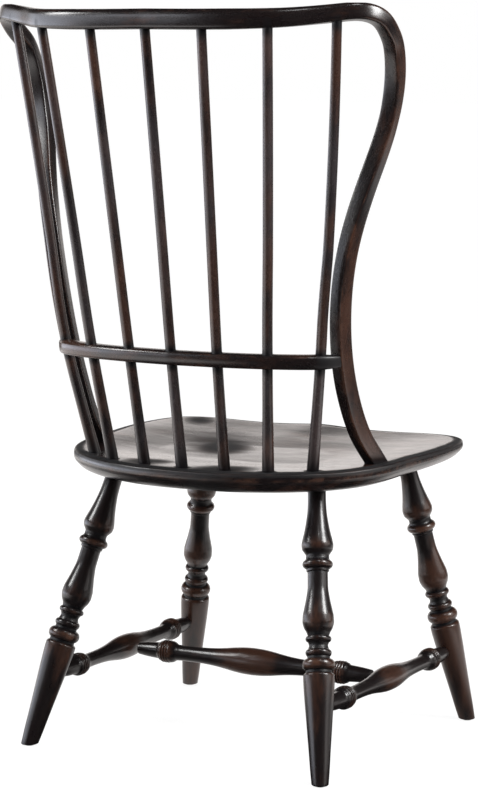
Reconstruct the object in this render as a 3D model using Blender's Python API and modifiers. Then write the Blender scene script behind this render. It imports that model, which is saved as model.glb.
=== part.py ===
"""Spindle side chair: saddled plank seat, turned legs and stretchers, spindles and a bent bow.

World axes: X runs across the chair (the sitter's left is +X), the seat front faces -Y,
Z is up and the floor is at zero. All lengths are in metres.
"""
import math

import bmesh
import bpy
import numpy as np
from mathutils import Matrix, Vector

# dimensions
FIT = 0.0003                 # clearance between two pieces that touch

SEAT_Z = 0.4440              # top of the seat where the middle spindle stands
SEAT_TILT = 0.037            # rise of the seat towards the front, per metre
SEAT_REF_Y = 0.176           # where SEAT_Z is taken
SEAT_THICK = 0.0335          # full thickness of the plank
FRONT_THIN = 0.11            # share of the thickness that the plank loses towards the front
SADDLE_DEPTH = 0.0085        # deepest part of the dished seat
SEAT_CENTRE_Y = -0.040       # middle that the outline shrinks towards
SEAT_FLAT = 0.060            # inset of the last ring on the flat underside
# Bull-nosed edge from below: inset from the outline, depth under the plain top plane.
SEAT_EDGE_BELOW = [(0.028, SEAT_THICK), (0.0145, 0.0300), (0.0070, 0.0240), (0.0015, 0.0175)]
# The same edge from above: inset from the outline, depth under the dished top.
SEAT_EDGE_ABOVE = [(0.0000, 0.0125), (0.0008, 0.0070), (0.0032, 0.0028), (0.0070, 0.0006),
                   (0.0120, 0.0000)]

LEG_REAR_FOOT = (0.2521, 0.2126)
LEG_REAR_TOP = (0.1772, 0.0870)
LEG_FRONT_FOOT = (0.2557, -0.2760)
LEG_FRONT_TOP = (0.1852, -0.2006)
LEG_TOP_Z = 0.400            # the two points above are on this level
LEG_TENON_COVER = 0.0155     # height of SEAT_Z above the end of the tenon inside the seat

STRETCH_REAR_Z = 0.1060      # side stretcher where it meets the rear leg axis
STRETCH_FRONT_Z = 0.1149     # and the front leg axis
STRETCH_IN_LEG = 0.0040      # the stretcher stops this far short of the leg axis
CENTRE_IN_SIDE = 0.0060      # and the centre one this far short of the side one

RAIL_ABOVE_SEAT = 0.1652     # centre of the mid rail
RAIL_HEIGHT = 0.0217
RAIL_DEPTH = 0.0240
RAIL_ARRIS = 0.0045          # rounding of the rail's edges

POST_ACROSS = 0.0244         # bow section: thickness, square to its flat outer face
POST_DEEP = 0.0228           # and its depth, front to back, at the posts
CREST_TALL = 0.0296          # which is its height at the middle of the crest
CORNER_TALL = 0.0250         # just before the corner
POST_FOOT_DEEP = 0.0252      # and the depth where the posts enter the seat
BOW_ARRIS = 0.0048           # rounding of the bow's edges

GLIDE_RADIUS = 0.0080
GLIDE_THICK = 0.0019
NAIL_RADIUS = 0.0012
NAIL_LENGTH = 0.0120

# levels that follow from the sizes above
FOOT_Z = GLIDE_THICK + FIT   # legs are cut level here, on top of the glides
LEG_TENON_END = SEAT_Z - LEG_TENON_COVER
RAIL_Z = SEAT_Z + RAIL_ABOVE_SEAT

# Leg outline: distance up the leg axis from the floor, radius.
LEG_PROFILE = [
    (-0.010, 0.0116), (0.000, 0.0123), (0.024, 0.0143), (0.052, 0.0161), (0.095, 0.0192),
    (0.138, 0.0223), (0.156, 0.0231), (0.1610, 0.0230), (0.1632, 0.0217),
    (0.1650, 0.0192), (0.1682, 0.0190), (0.1700, 0.0213), (0.1735, 0.0235), (0.1772, 0.0240),
    (0.1810, 0.0231), (0.1845, 0.0203), (0.1860, 0.0168), (0.1888, 0.0165), (0.1908, 0.0182),
    (0.1946, 0.0193), (0.1978, 0.0181), (0.1996, 0.0155), (0.2050, 0.0139), (0.2100, 0.0156),
    (0.2118, 0.0182), (0.2148, 0.0191), (0.2178, 0.0180), (0.2194, 0.0156), (0.2240, 0.0172),
    (0.2315, 0.0212), (0.2400, 0.0232), (0.2480, 0.0229), (0.2575, 0.0211), (0.2735, 0.0177),
    (0.2920, 0.0152), (0.3135, 0.0150), (0.3150, 0.0168), (0.3182, 0.0169),
    (0.3192, 0.0188), (0.3215, 0.0214), (0.3251, 0.0225), (0.3287, 0.0214), (0.3312, 0.0186),
    (0.3340, 0.0171), (0.3385, 0.0171), (0.3425, 0.0196), (0.3475, 0.0227), (0.3535, 0.0235),
    (0.3600, 0.0225), (0.3710, 0.0198), (0.3860, 0.0168), (0.4060, 0.0141),
    (0.4240, 0.0134),
]
LEG_TENON_RADIUS = 0.0134

# Side stretcher outline, half of it: distance from the middle, radius.
SIDE_PROFILE = [
    (0.000, 0.0189), (0.012, 0.0185), (0.026, 0.0171), (0.042, 0.0147), (0.060, 0.0125),
    (0.080, 0.0113), (0.100, 0.0109), (0.116, 0.0110), (0.1235, 0.0117), (0.1270, 0.0138),
    (0.1300, 0.0158), (0.1335, 0.0166), (0.1347, 0.0161), (0.1360, 0.0173), (0.1380, 0.0173),
    (0.1392, 0.0161), (0.1405, 0.0174), (0.1425, 0.0174), (0.1437, 0.0161), (0.1450, 0.0171),
    (0.1470, 0.0171), (0.1482, 0.0161), (0.1510, 0.0155), (0.1535, 0.0137), (0.1560, 0.0130),
    (0.1760, 0.0116), (0.1910, 0.0095),
]
STRETCH_END_RADIUS = 0.0095
STRETCH_HOLE_RADIUS = (STRETCH_END_RADIUS + FIT) / math.cos(math.pi / 10)

# Centre stretcher outline, half of it.
CENTRE_PROFILE = [
    (0.000, 0.0213), (0.014, 0.0208), (0.030, 0.0192), (0.048, 0.0165), (0.066, 0.0142),
    (0.086, 0.0127), (0.106, 0.0121), (0.126, 0.0121), (0.1370, 0.0126), (0.1405, 0.0143),
    (0.1435, 0.0162), (0.1475, 0.0170), (0.1487, 0.0164), (0.1500, 0.0176), (0.1520, 0.0176),
    (0.1532, 0.0164), (0.1545, 0.0177), (0.1565, 0.0177), (0.1577, 0.0164), (0.1590, 0.0175),
    (0.1610, 0.0175), (0.1622, 0.0164), (0.1650, 0.0158), (0.1675, 0.0139), (0.1700, 0.0130),
    (0.1900, 0.0115), (0.2060, 0.0095),
]

# Spindles of the left half: (x, y) at the seat, at the mid rail and at the crest, and how far
# the upper part bows sideways and back.
SPINDLES = [
    ((0.1885, 0.1215), (0.2182, 0.1545), (0.2690, 0.2068), (0.0012, -0.0055)),
    ((0.1340, 0.1576), (0.1496, 0.1889), (0.1880, 0.2605), (0.0000, -0.0015)),
    ((0.0688, 0.1725), (0.0745, 0.2042), (0.0927, 0.2805), (0.0000, 0.0000)),
    ((0.0000, 0.1790), (0.0000, 0.2093), (0.0000, 0.2810), (0.0000, -0.0005)),
]
SPINDLE_IN_SEAT = 0.020
SPINDLE_IN_CREST = 0.012
SPINDLE_BEND = 0.060         # length of the soft bend below and above the mid rail
SPINDLE_SWELL = 0.040        # length of the thicker stretch above the seat
# Spindle radius by height above SEAT_Z.
SPINDLE_RADII = [(-0.024, 0.0090), (0.006, 0.0090), (0.036, 0.0085), (0.086, 0.0080),
                 (0.136, 0.0078), (0.196, 0.0077), (0.406, 0.0075), (0.676, 0.0072)]

# Bow centre line, left half, from the middle of the crest round the corner to the seat:
# x, y, height above SEAT_Z, and the direction its flat outer face looks in, in degrees from +X.
BOW = [
    (0.0000, 0.2810, 0.6545, 90), (0.0800, 0.2810, 0.6540, 87), (0.1500, 0.2720, 0.6545, 77),
    (0.1980, 0.2525, 0.6560, 62), (0.2335, 0.2265, 0.6590, 50), (0.2700, 0.2037, 0.6632, 44),
    (0.2992, 0.1838, 0.6645, 40), (0.3126, 0.1615, 0.6565, 32), (0.3153, 0.1372, 0.6380, 23),
    (0.3124, 0.1178, 0.6210, 17), (0.3089, 0.1038, 0.5930, 12), (0.3039, 0.0963, 0.5590, 7),
    (0.2957, 0.0952, 0.5160, -6), (0.2754, 0.1176, 0.4280, 0), (0.2527, 0.1362, 0.3310, 16),
    (0.2390, 0.1330, 0.2360, 16), (0.2330, 0.1070, 0.1360, 21), (0.2335, 0.0840, 0.0860, 25),
    (0.2360, 0.0610, 0.0485, 25), (0.2395, 0.0240, 0.0100, 25), (0.2415, 0.0040, -0.0110, 25),
]

# Mid rail centre line, left half.
RAIL = [(0.0000, 0.2093), (0.0745, 0.2042), (0.1496, 0.1889), (0.1980, 0.1690),
        (0.2182, 0.1545), (0.2318, 0.1360), (0.2350, 0.1195)]

# Seat outline seen from above, left half, from the middle of the back to the middle of the front.
SEAT_OUTLINE = [
    (0.000, 0.2030), (0.050, 0.2005), (0.100, 0.1910), (0.150, 0.1715), (0.194, 0.1450),
    (0.2312, 0.1120), (0.2568, 0.0705), (0.270, 0.0215), (0.2745, -0.0350), (0.280, -0.0900),
    (0.2805, -0.1500), (0.276, -0.1950), (0.264, -0.2300), (0.243, -0.2510), (0.215, -0.2600),
    (0.182, -0.2620), (0.145, -0.2600), (0.095, -0.2590), (0.045, -0.2630), (0.000, -0.2660),
]

SHARP_ANGLE = math.radians(40)  # edges steeper than this stay sharp
AROUND_LEG = 14
AROUND_STRETCH = 10
AROUND_SPINDLE = 12

# scene set-up
for old in list(bpy.data.objects):
    bpy.data.objects.remove(old)

chair = bpy.data.collections.new("spindle_side_chair")
tools = bpy.data.collections.new("cutters")
bpy.context.scene.collection.children.link(chair)
bpy.context.scene.collection.children.link(tools)


def body_from(name, verts, faces, group=chair):
    """Make one object from points and faces and put it in a collection."""
    mesh = bpy.data.meshes.new(name)
    mesh.from_pydata([tuple(v) for v in verts], [], faces)
    mesh.update()
    thing = bpy.data.objects.new(name, mesh)
    group.objects.link(thing)
    if group is tools:
        thing.hide_render = True
        thing.display_type = "WIRE"
    return thing


def spline(points, count):
    """Even samples along a smooth curve through the points (natural cubic)."""
    p = np.array(points, dtype=float)
    step = np.linalg.norm(np.diff(p, axis=0), axis=1)
    t = np.concatenate([[0.0], np.cumsum(step)])
    n = len(t)
    rows = np.zeros((n, n))
    right = np.zeros((n, p.shape[1]))
    rows[0, 0] = 1.0
    rows[-1, -1] = 1.0
    for i in range(1, n - 1):
        h0 = t[i] - t[i - 1]
        h1 = t[i + 1] - t[i]
        rows[i, i - 1] = h0
        rows[i, i] = 2.0 * (h0 + h1)
        rows[i, i + 1] = h1
        right[i] = 6.0 * ((p[i + 1] - p[i]) / h1 - (p[i] - p[i - 1]) / h0)
    bend = np.linalg.solve(rows, right)
    samples = np.linspace(0.0, t[-1], count) if np.isscalar(count) else np.asarray(count) * t[-1]
    out = []
    for s in samples:
        i = int(np.clip(np.searchsorted(t, s) - 1, 0, n - 2))
        h = t[i + 1] - t[i]
        a = (t[i + 1] - s) / h
        b = (s - t[i]) / h
        cubic = (a ** 3 - a) * bend[i] + (b ** 3 - b) * bend[i + 1]
        out.append(a * p[i] + b * p[i + 1] + cubic * h * h / 6.0)
    return np.array(out)


def loft(name, rings, group=chair):
    """Close a row of rings, each with the same number of points, into one body."""
    count = len(rings[0])
    verts = [point for ring in rings for point in ring]
    faces = []
    for i in range(len(rings) - 1):
        for j in range(count):
            k = (j + 1) % count
            faces.append((i * count + j, i * count + k, (i + 1) * count + k, (i + 1) * count + j))
    faces.append(tuple(range(count))[::-1])
    faces.append(tuple((len(rings) - 1) * count + j for j in range(count)))
    return outward(body_from(name, verts, faces, group))


def outward(thing):
    """Turn the faces outward when the enclosed volume comes out negative."""
    mesh = thing.data
    total = 0.0
    for poly in mesh.polygons:
        corners = [mesh.vertices[i].co for i in poly.vertices]
        for k in range(1, len(corners) - 1):
            total += corners[0].dot(corners[k].cross(corners[k + 1]))
    if total < 0.0:
        mesh.flip_normals()
    return thing


def turned(name, profile, around, group=chair):
    """Turn an outline of (height, radius) pairs about Z with a Screw modifier."""
    heights = sorted(profile, key=lambda pair: -pair[0])
    verts = [(0.0, 0.0, heights[0][0])]
    verts += [(radius, 0.0, height) for height, radius in heights]
    verts += [(0.0, 0.0, heights[-1][0])]
    mesh = bpy.data.meshes.new(name)
    mesh.from_pydata(verts, [(i, i + 1) for i in range(len(verts) - 1)], [])
    thing = bpy.data.objects.new(name, mesh)
    group.objects.link(thing)
    if group is tools:
        thing.hide_render = True
        thing.display_type = "WIRE"
    screw = thing.modifiers.new("turn", "SCREW")
    screw.axis = "Z"
    screw.steps = around
    screw.render_steps = around
    screw.use_merge_vertices = True
    screw.merge_threshold = 0.0001
    screw.use_smooth_shade = False
    settle(thing)
    return outward(thing)


def settle(thing):
    """Apply the modifiers of an object."""
    graph = bpy.context.evaluated_depsgraph_get()
    mesh = bpy.data.meshes.new_from_object(thing.evaluated_get(graph))
    thing.modifiers.clear()
    thing.data = mesh


def solid_from_curve(name, curve, group=chair):
    """Turn a curve with filled caps into one closed mesh object."""
    guide = bpy.data.objects.new(name + "_line", curve)
    group.objects.link(guide)
    graph = bpy.context.evaluated_depsgraph_get()
    mesh = bpy.data.meshes.new_from_object(guide.evaluated_get(graph))
    bpy.data.objects.remove(guide)
    shape = bmesh.new()
    shape.from_mesh(mesh)
    bmesh.ops.remove_doubles(shape, verts=shape.verts, dist=0.00005)
    shape.to_mesh(mesh)
    shape.free()
    mesh.name = name
    thing = bpy.data.objects.new(name, mesh)
    group.objects.link(thing)
    if group is tools:
        thing.hide_render = True
        thing.display_type = "WIRE"
    return outward(thing)


def place(thing, base, tip):
    """Stand an object made along +Z at base, pointing at tip."""
    aim = (Vector(tip) - Vector(base)).normalized()
    turn = aim.to_track_quat("Z", "Y").to_matrix().to_4x4()
    thing.data.transform(Matrix.Translation(Vector(base)) @ turn)
    return thing


def cut(thing, cutter):
    """Take the cutter out of the object with an exact boolean."""
    knife = thing.modifiers.new("cut", "BOOLEAN")
    knife.operation = "DIFFERENCE"
    knife.solver = "EXACT"
    knife.object = cutter
    settle(thing)


def mirrored(thing, name, group=chair):
    """A copy of the object on the other side of the YZ plane."""
    mesh = thing.data.copy()
    mesh.name = name
    mesh.transform(Matrix.Scale(-1.0, 4, (1.0, 0.0, 0.0)))
    mesh.flip_normals()
    twin = bpy.data.objects.new(name, mesh)
    group.objects.link(twin)
    twin.hide_render = thing.hide_render
    twin.display_type = thing.display_type
    return twin


def rounded(wide, tall, corner, steps=2):
    """Corner-rounded rectangle as (across, up) pairs, going round once."""
    points = []
    for sx, sy, start in ((1, 1, 0.0), (-1, 1, 90.0), (-1, -1, 180.0), (1, -1, 270.0)):
        for k in range(steps + 1):
            angle = math.radians(start + 90.0 * k / steps)
            points.append((sx * (wide / 2 - corner) + corner * math.cos(angle),
                           sy * (tall / 2 - corner) + corner * math.sin(angle)))
    return points


# seat
def seat_top(x, y):
    """Height of the seat's upper surface before its edge is rounded."""
    plane = SEAT_Z + SEAT_TILT * (SEAT_REF_Y - y)
    hollow = 0.0
    for side in (-1.0, 1.0):
        u = (x - side * 0.108) / 0.120
        v = (y + 0.030) / (0.125 if y > -0.030 else 0.200)
        hollow += math.exp(-(u * u) ** 1.3 - (v * v) ** 1.6)
    u = x / 0.170
    v = (y - 0.020) / 0.115
    hollow += 0.55 * math.exp(-(u * u) ** 1.5 - (v * v) ** 1.5)
    rim = 0.0015 * math.exp(-((y - 0.010) / 0.090) ** 2) - 0.0018 / (1.0 + math.exp((y + 0.175) / 0.018))
    rim += 0.0022 * math.exp(-(x / 0.045) ** 2) / (1.0 + math.exp((y + 0.190) / 0.018))
    return plane + rim - SADDLE_DEPTH * min(hollow, 1.25)


def seat_outline():
    """The whole outline seen from above, as points going round once."""
    half = spline(SEAT_OUTLINE, 33)
    left = [(x, y) for x, y in half]
    left[0] = (0.0, left[0][1])
    left[-1] = (0.0, left[-1][1])
    right = [(-x, y) for x, y in left[-2:0:-1]]
    return left + right


def build_seat():
    """Saddled plank with a bull-nosed edge, as rings shrinking from edge to middle."""
    line = seat_outline()
    centre = (0.0, SEAT_CENTRE_Y)
    rings = []

    def ring(inset, drop=None, level=None):
        """One ring: the outline pulled in by inset, at a depth below the top surface."""
        points = []
        for x, y in line:
            dx = x - centre[0]
            dy = y - centre[1]
            reach = math.hypot(dx, dy)
            keep = (reach - inset) / reach
            px = centre[0] + dx * keep
            py = centre[1] + dy * keep
            plane = SEAT_Z + SEAT_TILT * (SEAT_REF_Y - py)
            if level is not None:
                forward = min(max((0.120 - py) / 0.220, 0.0), 1.0)
                points.append((px, py, plane - level * (1.0 - FRONT_THIN * forward)))
            else:
                points.append((px, py, seat_top(px, py) - drop))
        rings.append(points)

    def scaled(share):
        """One ring on the top surface: the outline scaled towards the centre."""
        points = []
        for x, y in line:
            px = centre[0] + (x - centre[0]) * share
            py = centre[1] + (y - centre[1]) * share
            points.append((px, py, seat_top(px, py)))
        rings.append(points)

    for inset, level in [(SEAT_FLAT, SEAT_THICK)] + SEAT_EDGE_BELOW:
        ring(inset, level=level)
    for inset, drop in SEAT_EDGE_ABOVE:
        ring(inset, drop=drop)
    for share in (0.86, 0.78, 0.70, 0.61, 0.51, 0.40, 0.28, 0.15):
        scaled(share)
    count = len(line)
    verts = [point for points in rings for point in points]
    faces = []
    for i in range(len(rings) - 1):
        for j in range(count):
            k = (j + 1) % count
            faces.append((i * count + j, i * count + k, (i + 1) * count + k, (i + 1) * count + j))
    faces.append(tuple(range(count))[::-1])
    last = (len(rings) - 1) * count
    middle = len(verts)
    verts.append((centre[0], centre[1], seat_top(*centre)))
    for j in range(count):
        faces.append((last + j, last + (j + 1) % count, middle))
    return outward(body_from("seat", verts, faces))


seat = build_seat()


# legs and glides
def along(foot, top, level):
    """Point on a leg axis at a height."""
    share = level / LEG_TOP_Z
    return (foot[0] + (top[0] - foot[0]) * share, foot[1] + (top[1] - foot[1]) * share, level)


def build_leg(name, foot, top):
    """A turned leg, its foot cut level and its tenon reaching into the seat."""
    base = along(foot, top, 0.0)
    tip = along(foot, top, LEG_TENON_END)
    length = (Vector(tip) - Vector(base)).length
    profile = [pair for pair in LEG_PROFILE if pair[0] < length - 0.004]
    profile += [(length, LEG_TENON_RADIUS)]
    leg = place(turned(name, profile, AROUND_LEG), base, tip)
    floor = body_from(name + "_floor", [
        (foot[0] + dx, foot[1] + dy, z)
        for z in (-0.05, FOOT_Z) for dx, dy in ((-.05, -.05), (.05, -.05), (.05, .05), (-.05, .05))
    ], [(3, 2, 1, 0), (4, 5, 6, 7), (0, 1, 5, 4), (1, 2, 6, 5), (2, 3, 7, 6), (3, 0, 4, 7)], tools)
    cut(leg, floor)
    entry = along(foot, top, FOOT_Z)
    nail_hole = turned(name + "_nail_hole", [(-0.002, NAIL_RADIUS + FIT),
                                             (NAIL_LENGTH + FIT, NAIL_RADIUS + FIT)], 10, tools)
    place(nail_hole, (entry[0], entry[1], FOOT_Z), (entry[0], entry[1], 1.0))
    cut(leg, nail_hole)
    socket = turned(name + "_socket", [(0.0, LEG_TENON_RADIUS + FIT),
                                       (0.0800 + FIT, LEG_TENON_RADIUS + FIT)], AROUND_LEG, tools)
    start = Vector(tip) - (Vector(tip) - Vector(base)).normalized() * 0.0800
    place(socket, start, tip)
    return leg, socket


def build_glide(name, foot, top):
    """Round steel glide with its nail."""
    spot = along(foot, top, FOOT_Z)
    outline = [
        (0.0000, 0.0056), (0.0005, 0.0072), (0.0012, GLIDE_RADIUS), (GLIDE_THICK, GLIDE_RADIUS),
        (GLIDE_THICK + 0.0000001, NAIL_RADIUS), (FOOT_Z + NAIL_LENGTH - 0.002, NAIL_RADIUS),
        (FOOT_Z + NAIL_LENGTH - 0.0003, 0.0004),
    ]
    glide = turned(name, outline, 16)
    glide.data.transform(Matrix.Translation((spot[0], spot[1], 0.0)))
    return glide


legs = {}
for place_name, foot, top in (("rear_left", LEG_REAR_FOOT, LEG_REAR_TOP),
                              ("front_left", LEG_FRONT_FOOT, LEG_FRONT_TOP)):
    other = place_name.replace("left", "right")
    leg, socket = build_leg(place_name + "_leg", foot, top)
    cut(seat, socket)
    cut(seat, mirrored(socket, other + "_leg_socket", tools))
    legs[place_name] = leg
    glide = build_glide(place_name + "_glide", foot, top)
    mirrored(glide, other + "_glide")

# stretchers
rear_joint = Vector(along(LEG_REAR_FOOT, LEG_REAR_TOP, STRETCH_REAR_Z))
front_joint = Vector(along(LEG_FRONT_FOOT, LEG_FRONT_TOP, STRETCH_FRONT_Z))
middle = (rear_joint + front_joint) / 2
run = (front_joint - rear_joint).normalized()
half_side = (front_joint - rear_joint).length / 2


def both_ways(half, end, radius):
    """Whole outline of a stretcher from its half, with straight ends for the sockets."""
    side = [pair for pair in half if pair[0] > 0.0]
    return ([(end, radius)] + [(0.0, half[0][1])] + side
            + [(-u, r) for u, r in side] + [(-end, radius)])


side_end = half_side - STRETCH_IN_LEG
side_stretcher = turned("left_side_stretcher",
                        both_ways(SIDE_PROFILE, side_end, STRETCH_END_RADIUS), AROUND_STRETCH)
place(side_stretcher, middle, front_joint)

for place_name, joint in (("rear_left", rear_joint), ("front_left", front_joint)):
    way = (joint - middle).normalized()
    hole = turned(place_name + "_mortise", [(0.0, STRETCH_HOLE_RADIUS), (0.060, STRETCH_HOLE_RADIUS)],
                  AROUND_STRETCH, tools)
    stop = middle + way * (side_end + FIT)
    place(hole, stop - way * 0.060, stop)
    cut(legs[place_name], hole)
    mirrored(legs[place_name], place_name.replace("left", "right") + "_leg")

centre_stretcher = turned("centre_stretcher",
                          both_ways(CENTRE_PROFILE, middle.x - CENTRE_IN_SIDE, STRETCH_END_RADIUS),
                          AROUND_STRETCH)
place(centre_stretcher, (0.0, middle.y, middle.z), (1.0, middle.y, middle.z))
hole = turned("side_mortise", [(0.0, STRETCH_HOLE_RADIUS), (0.060, STRETCH_HOLE_RADIUS)],
              AROUND_STRETCH, tools)
place(hole, (middle.x - CENTRE_IN_SIDE + FIT - 0.060, middle.y, middle.z),
      (middle.x - CENTRE_IN_SIDE + FIT, middle.y, middle.z))
cut(side_stretcher, hole)
mirrored(side_stretcher, "right_side_stretcher")


# bow
def bow_line():
    """Centre line of the left half of the bow."""
    return np.array([(x, y, SEAT_Z + above) for x, y, above, face in BOW])


def crest_bottom(x):
    """Level of the crest's underside at a distance from the middle of the chair."""
    crest = [row for row in bow_line() if row[2] > RAIL_Z][:8]
    return float(np.interp(abs(x), [row[0] for row in crest], [row[2] for row in crest])) - CREST_TALL / 2


def bow_rings(grow=0.0, first=0.0):
    """Section rings along the bow from the left foot over the crest to the right foot."""
    share = np.concatenate([np.linspace(0.0, 0.22, 8), np.linspace(0.245, 0.44, 16)[:-1],
                            np.linspace(0.44, 1.0, 19)])
    line = bow_line()
    points = spline(line, share)
    knots = np.concatenate([[0.0], np.cumsum(np.linalg.norm(np.diff(line, axis=0), axis=1))])
    face = np.interp(share, knots / knots[-1], [row[3] for row in BOW])
    tall = np.interp(share, [0.0, 0.12, 0.28, 0.40, 0.66, 0.84, 1.0],
                     [CREST_TALL, CREST_TALL, CORNER_TALL, POST_DEEP, POST_DEEP,
                      POST_FOOT_DEEP, POST_FOOT_DEEP])
    fine = spline(line, np.linspace(0.0, 1.0, 801))
    slope = np.gradient(fine, axis=0)
    rings = []
    for point, s, angle, height in zip(points, share, face, tall):
        if s < first:
            continue
        t = np.array([np.interp(s, np.linspace(0, 1, 801), slope[:, k]) for k in range(3)])
        if s == 0.0:
            t = np.array([1.0, 0.0, 0.0])
        t /= np.linalg.norm(t)
        n = np.array([math.cos(math.radians(angle)), math.sin(math.radians(angle)), 0.0])
        n -= t * np.dot(n, t)
        n /= np.linalg.norm(n)
        m = np.cross(t, n)
        ring = [point + n * a + m * b
                for a, b in rounded(POST_ACROSS + 2 * grow, height + 2 * grow, BOW_ARRIS + grow)]
        rings.append(ring)
    return rings


def build_bow():
    """The whole bow as one body, left half and its mirror image."""
    half = bow_rings()
    flip = np.array([-1.0, 1.0, 1.0])
    other = []
    for ring in half[1:]:
        other.append([point * flip for point in ring])
    # the mirrored rings run the other way round, so match them point by point
    count = len(half[0])
    first = [point * flip for point in half[0]]
    order = [int(np.argmin([np.linalg.norm(a - b) for b in first])) for a in half[0]]
    other = [[ring[order[j]] for j in range(count)] for ring in other]
    return loft("bow", half[:0:-1] + [half[0]] + other)


bow = build_bow()
foot_rings = bow_rings(grow=FIT, first=0.90)
below = np.array(bow_line()[-1]) - np.array(bow_line()[-2])
foot_rings[-1] = [point + below / np.linalg.norm(below) * (2 * FIT) for point in foot_rings[-1]]
foot_cutter = loft("bow_foot_socket", foot_rings, tools)
cut(seat, foot_cutter)
cut(seat, mirrored(foot_cutter, "bow_foot_socket_right", tools))

# mid rail
def rail_rings(grow=0.0, tail_only=False):
    """Section rings of the mid rail's left half, from the middle to the end inside the post."""
    share = np.linspace(0.0, 1.0, 17)
    line = spline(RAIL, share)
    fine = spline(RAIL, np.linspace(0.0, 1.0, 601))
    slope = np.gradient(fine, axis=0)
    rings = []
    for s, point in zip(share, line):
        if tail_only and s < 0.86:
            continue
        t = np.array([np.interp(s, np.linspace(0, 1, 601), slope[:, k]) for k in range(2)])
        if s == 0.0:
            t = np.array([1.0, 0.0])
        t /= np.linalg.norm(t)
        n = np.array([-t[1], t[0]])
        deep = np.interp(s, [0.0, 0.80, 0.93, 1.0], [RAIL_DEPTH, RAIL_DEPTH, 0.0150, 0.0130])
        high = np.interp(s, [0.0, 0.86, 0.95, 1.0], [RAIL_HEIGHT, RAIL_HEIGHT, 0.0180, 0.0160])
        ring = [(point[0] + n[0] * a, point[1] + n[1] * a, RAIL_Z + b)
                for a, b in rounded(deep + 2 * grow, high + 2 * grow, RAIL_ARRIS + grow)]
        rings.append(ring)
    return rings


def build_rail():
    """The whole mid rail as one body."""
    half = rail_rings()
    other = [[(-x, y, z) for x, y, z in ring] for ring in half[1:]]
    return loft("mid_rail", half[:0:-1] + [half[0]] + other)


mid_rail = build_rail()
rail_socket = loft("rail_socket", rail_rings(grow=FIT, tail_only=True), tools)
cut(bow, rail_socket)
cut(bow, mirrored(rail_socket, "rail_socket_right", tools))


# spindles
def spindle_path(low, mid, high, sag):
    """Centre line of a spindle: straight in the seat, a soft bend at the rail."""
    bottom = Vector((low[0], low[1], SEAT_Z))
    rail = Vector((mid[0], mid[1], RAIL_Z))
    top = Vector((high[0], high[1], crest_bottom(high[0])))
    lower = (bottom - rail).normalized()
    upper = (top - rail).normalized()
    start = rail + lower * SPINDLE_BEND
    end = rail + upper * SPINDLE_BEND
    path = [bottom + lower * SPINDLE_IN_SEAT, bottom, bottom - lower * SPINDLE_SWELL, start]
    for k in range(1, 4):
        s = k / 4.0
        path.append(start * (1 - s) ** 2 + rail * (2 * s * (1 - s)) + end * s * s)
    path.append(end)
    for k in (0.32, 0.50, 0.68, 0.86):
        swell = 4.0 * k * (1.0 - k)
        path.append(rail.lerp(top, k) + Vector((sag[0] * swell, sag[1] * swell, 0.0)))
    path += [top, top + (top - path[-1]).normalized() * SPINDLE_IN_CREST]
    return path


def build_spindle(name, low, mid, high, sag, grow=0.0, group=chair):
    """A tapered round spindle, or its cutter when grow is set."""
    path = spindle_path(low, mid, high, sag)
    if grow:
        path[0] = path[0] + (path[0] - path[1]).normalized() * grow
        path[-1] = path[-1] + (path[-1] - path[-2]).normalized() * grow
    levels = [level for level, radius in SPINDLE_RADII]
    radii = [radius for level, radius in SPINDLE_RADII]
    curve = bpy.data.curves.new(name, "CURVE")
    curve.dimensions = "3D"
    curve.bevel_depth = 1.0
    curve.bevel_resolution = AROUND_SPINDLE // 2 - 2
    curve.use_fill_caps = True
    line = curve.splines.new("POLY")
    line.points.add(len(path) - 1)
    for spot, point in zip(line.points, path):
        spot.co = (*point, 1.0)
        spot.radius = float(np.interp(point.z - SEAT_Z, levels, radii)) + grow
    return solid_from_curve(name, curve, group)


number = 1
for low, mid, high, sag in SPINDLES:
    sides = (1.0,) if low[0] == 0.0 else (1.0, -1.0)
    for side in sides:
        index = number if side > 0 else 8 - number
        spots = [(side * x, y) for x, y in (low, mid, high, sag)]
        build_spindle("spindle_%d" % index, *spots)
        cutter = build_spindle("spindle_%d_hole" % index, *spots, grow=FIT, group=tools)
        cut(seat, cutter)
        cut(mid_rail, cutter)
        cut(bow, cutter)
    number += 1

# finish
def principled(name, colour, roughness, metallic):
    """A plain material of one colour."""
    material = bpy.data.materials.new(name)
    material.use_nodes = True
    shader = material.node_tree.nodes["Principled BSDF"]
    shader.inputs["Base Color"].default_value = (*colour, 1.0)
    shader.inputs["Roughness"].default_value = roughness
    shader.inputs["Metallic"].default_value = metallic
    return material


stained_wood = principled("stained_wood", (0.022, 0.016, 0.016), 0.32, 0.0)
glide_steel = principled("glide_steel", (0.45, 0.44, 0.42), 0.35, 1.0)
for thing in chair.objects:
    mesh = thing.data
    mesh.materials.clear()
    mesh.materials.append(glide_steel if thing.name.endswith("_glide") else stained_wood)
    mesh.shade_smooth()
    mesh.set_sharp_from_angle(angle=SHARP_ANGLE)
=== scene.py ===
"""Looks of the spindle side chair: every turned, bent and carved piece as a fine mesh, with a
rubbed near-black finish, on a pale floor in plain studio light.

World axes as in the solids: the sitter's left is +X, the seat front faces -Y, Z is up. Metres.
"""
import math

import bpy
import numpy as np
from mathutils import Matrix, Vector


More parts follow.
